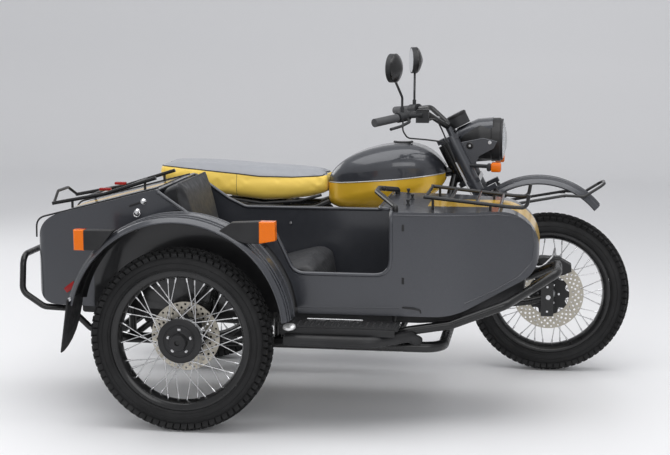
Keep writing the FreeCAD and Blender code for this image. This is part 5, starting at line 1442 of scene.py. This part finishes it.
turned_piece("cylinder_covers", [(cover, tuple(touch("cylinders", (-680, side * 600, 82),
                                                     (0, -side, 0))[0]), (0, side, 0))
                                 for side in (-1, 1)], CAST, "chassis", 56)
strand("plug_leads", [bent([(-640, side * 292, 148), (-628, side * 286, 186),
                            (-640, side * 150, 214), (-650, side * 40, 214)], 30)
                      for side in (-1, 1)], 4, RUBBER, "chassis", 10)


def hose_cover():
    """Black outer covers, and a braided metal one below the lamp on the brake's side."""
    material, tree, shader = new_material("cable_covers")
    _, y, z = axes(tree)
    low = math_node(tree, "MULTIPLY", math_node(tree, "LESS_THAN", z, 560.0),
                    math_node(tree, "LESS_THAN", y, 0.0))
    weave = noise(tree, 900, 2)
    wire(tree, shader, Base_Color=mixed(tree, low, (0.02, 0.02, 0.021), (0.55, 0.55, 0.56)),
         Metallic=low, Roughness=spread(tree, weave, 0.35, 0.5))
    bump(tree, shader, weave, 0.4, 0.0004)
    return material


CABLE_SKIN = hose_cover()

# Flap that narrows to the near side, and the caliper: two halves that span the disc, and its arm.
flap_line = [(-1215, 149), (-1036, 149), (-1037, 90), (-1048, 45), (-1072, 8), (-1108, -20),
             (-1150, -38), (-1190, -47), (-1214, -47)]
flap = plate_with_holes([(y + 1215, z - 149) for y, z in flap_line], [], 6, 1.2)
tilt = Matrix(((0, 0, 1), (1, 0, 0), (0, 1, 0))).to_4x4()
place = Matrix.Translation(at(-1718.5, -1215, 149)) @ Matrix.Rotation(math.radians(8.3), 4, "Y")
bmesh.ops.transform(flap, matrix=place @ tilt, verts=flap.verts)
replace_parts(keep("mud_flap_sheet", to_mesh("flap", flap, 1e-5), RUBBER, "chassis", 30),
            "mud_flap")
CALIPER = [(-41, 128), (-40, 158), (-20, 161), (42, 157), (90, 130), (91, 106), (62, 92), (10, 84),
           (-12, 96)]
body = extruded("caliper_body", CALIPER, -108, -74.5, SATIN_BLACK, "steering", 3)
extruded("caliper_inner_half", CALIPER, -57.5, -42, SATIN_BLACK, "steering", 2)
solid("caliper_bridge_and_arm", [((26, -66, 158.2), (46, 62, 7), 2),
                                 ((-2, -98, 70), (34, 22, 80), 3)],
      SATIN_BLACK, "steering")
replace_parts(body, "front_caliper")


# ------------------------------------------------------------------ finishes of the CAD nodes
CAD_FINISH = {
    PAINT: ("side_covers", "fork"), SIDE_GUARD_PAINT: ("sidecar_fender",),
    FRONT_GUARD_PAINT: ("front_fender",), REAR_GUARD_PAINT: ("rear_fender",),
    TANK_PAINT: ("fuel_tank",), TUB_PAINT: ("sidecar_tub",), LID_PAINT: ("trunk_lid",),
    ENAMEL: ("handlebar", "leading_link", "fender_bar", "motorcycle_frame", "exhausts",
             "rear_swing_arm", "centre_stand", "sidecar_frame", "trunk_rack", "hood_rack",
             "grab_handle", "sidecar_bumpers", "sidecar_swing_arm"),
    SATIN_BLACK: ("headlight_shell", "sidecar_underpan", "step_board"),
    CAST: ("engine_block",), FIN_METAL: ("cylinders",), CHROME: ("tank_cap",),
    PLASTIC: ("hand_controls", "mirrors", "gauge", "air_intake", "tail_lamp"),
    GRIP_RUBBER: ("grips",), CABLE_SKIN: ("cables",),
}
for finish, names in CAD_FINISH.items():
    for name in names:
        mesh = frame["nodes"][name].data
        mesh.materials.clear()
        mesh.materials.append(finish)


# ------------------------------------------------------------------ studio
def backdrop():
    """Pale floor that sweeps up into a grey wall."""
    material, tree, shader = new_material("studio_backdrop")
    wire(tree, shader, Base_Color=(0.86, 0.86, 0.87, 1), Roughness=0.45)
    profile = [(-14, 0), (7.4, 0)] + [(7.4 + 1.2 * math.sin(a), 1.2 - 1.2 * math.cos(a))
                                      for a in (i * math.pi / 24 for i in range(1, 13))]
    profile.append((8.6, 11))
    shape = bmesh.new()
    columns = [[shape.verts.new((x, y, z)) for y, z in profile] for x in (-14, 14)]
    for i in range(len(profile) - 1):
        shape.faces.new((columns[0][i], columns[0][i + 1], columns[1][i + 1], columns[1][i]))
    mesh = to_mesh("backdrop", shape)
    floor = bpy.data.objects.new("backdrop", mesh)
    COLLECTION.objects.link(floor)
    mesh.materials.append(material)
    shade(mesh, 30)


def lamp(name, place, target, size, power):
    """A rectangular lamp that faces a target."""
    light = bpy.data.lights.new(name, "AREA")
    light.shape = "RECTANGLE"
    light.size, light.size_y = size
    light.energy = power
    holder = bpy.data.objects.new(name, light)
    COLLECTION.objects.link(holder)
    holder.location = place
    holder.rotation_euler = (Vector(target) - Vector(place)).to_track_quat("-Z", "Y").to_euler()


backdrop()
lamp("overhead_softbox", (0.2, -0.6, 3.6), (0, 0.1, 0.3), (5.0, 3.2), 105)
lamp("front_fill", (1.2, -5.5, 2.6), (0, 0, 0.6), (3.5, 2.0), 48)
lamp("far_fill", (-3.8, 2.6, 2.4), (0, 0, 0.5), (2.5, 2.0), 34)
world = bpy.data.worlds.new("studio_world")
world.use_nodes = True
world.node_tree.nodes["Background"].inputs[0].default_value = (0.965, 0.975, 1.0, 1)
world.node_tree.nodes["Background"].inputs[1].default_value = 0.62
bpy.context.scene.world = world

camera = bpy.data.cameras.new("camera")
camera.sensor_width = 36
camera.lens = 77.48
view = bpy.data.objects.new("camera", camera)
COLLECTION.objects.link(view)
view.location = (0.8325, -5.730, 1.510)
view.rotation_euler = (math.radians(90 - 8.42), 0, math.radians(8.59))
bpy.context.scene.camera = view
bpy.context.scene.view_settings.view_transform = "Standard"
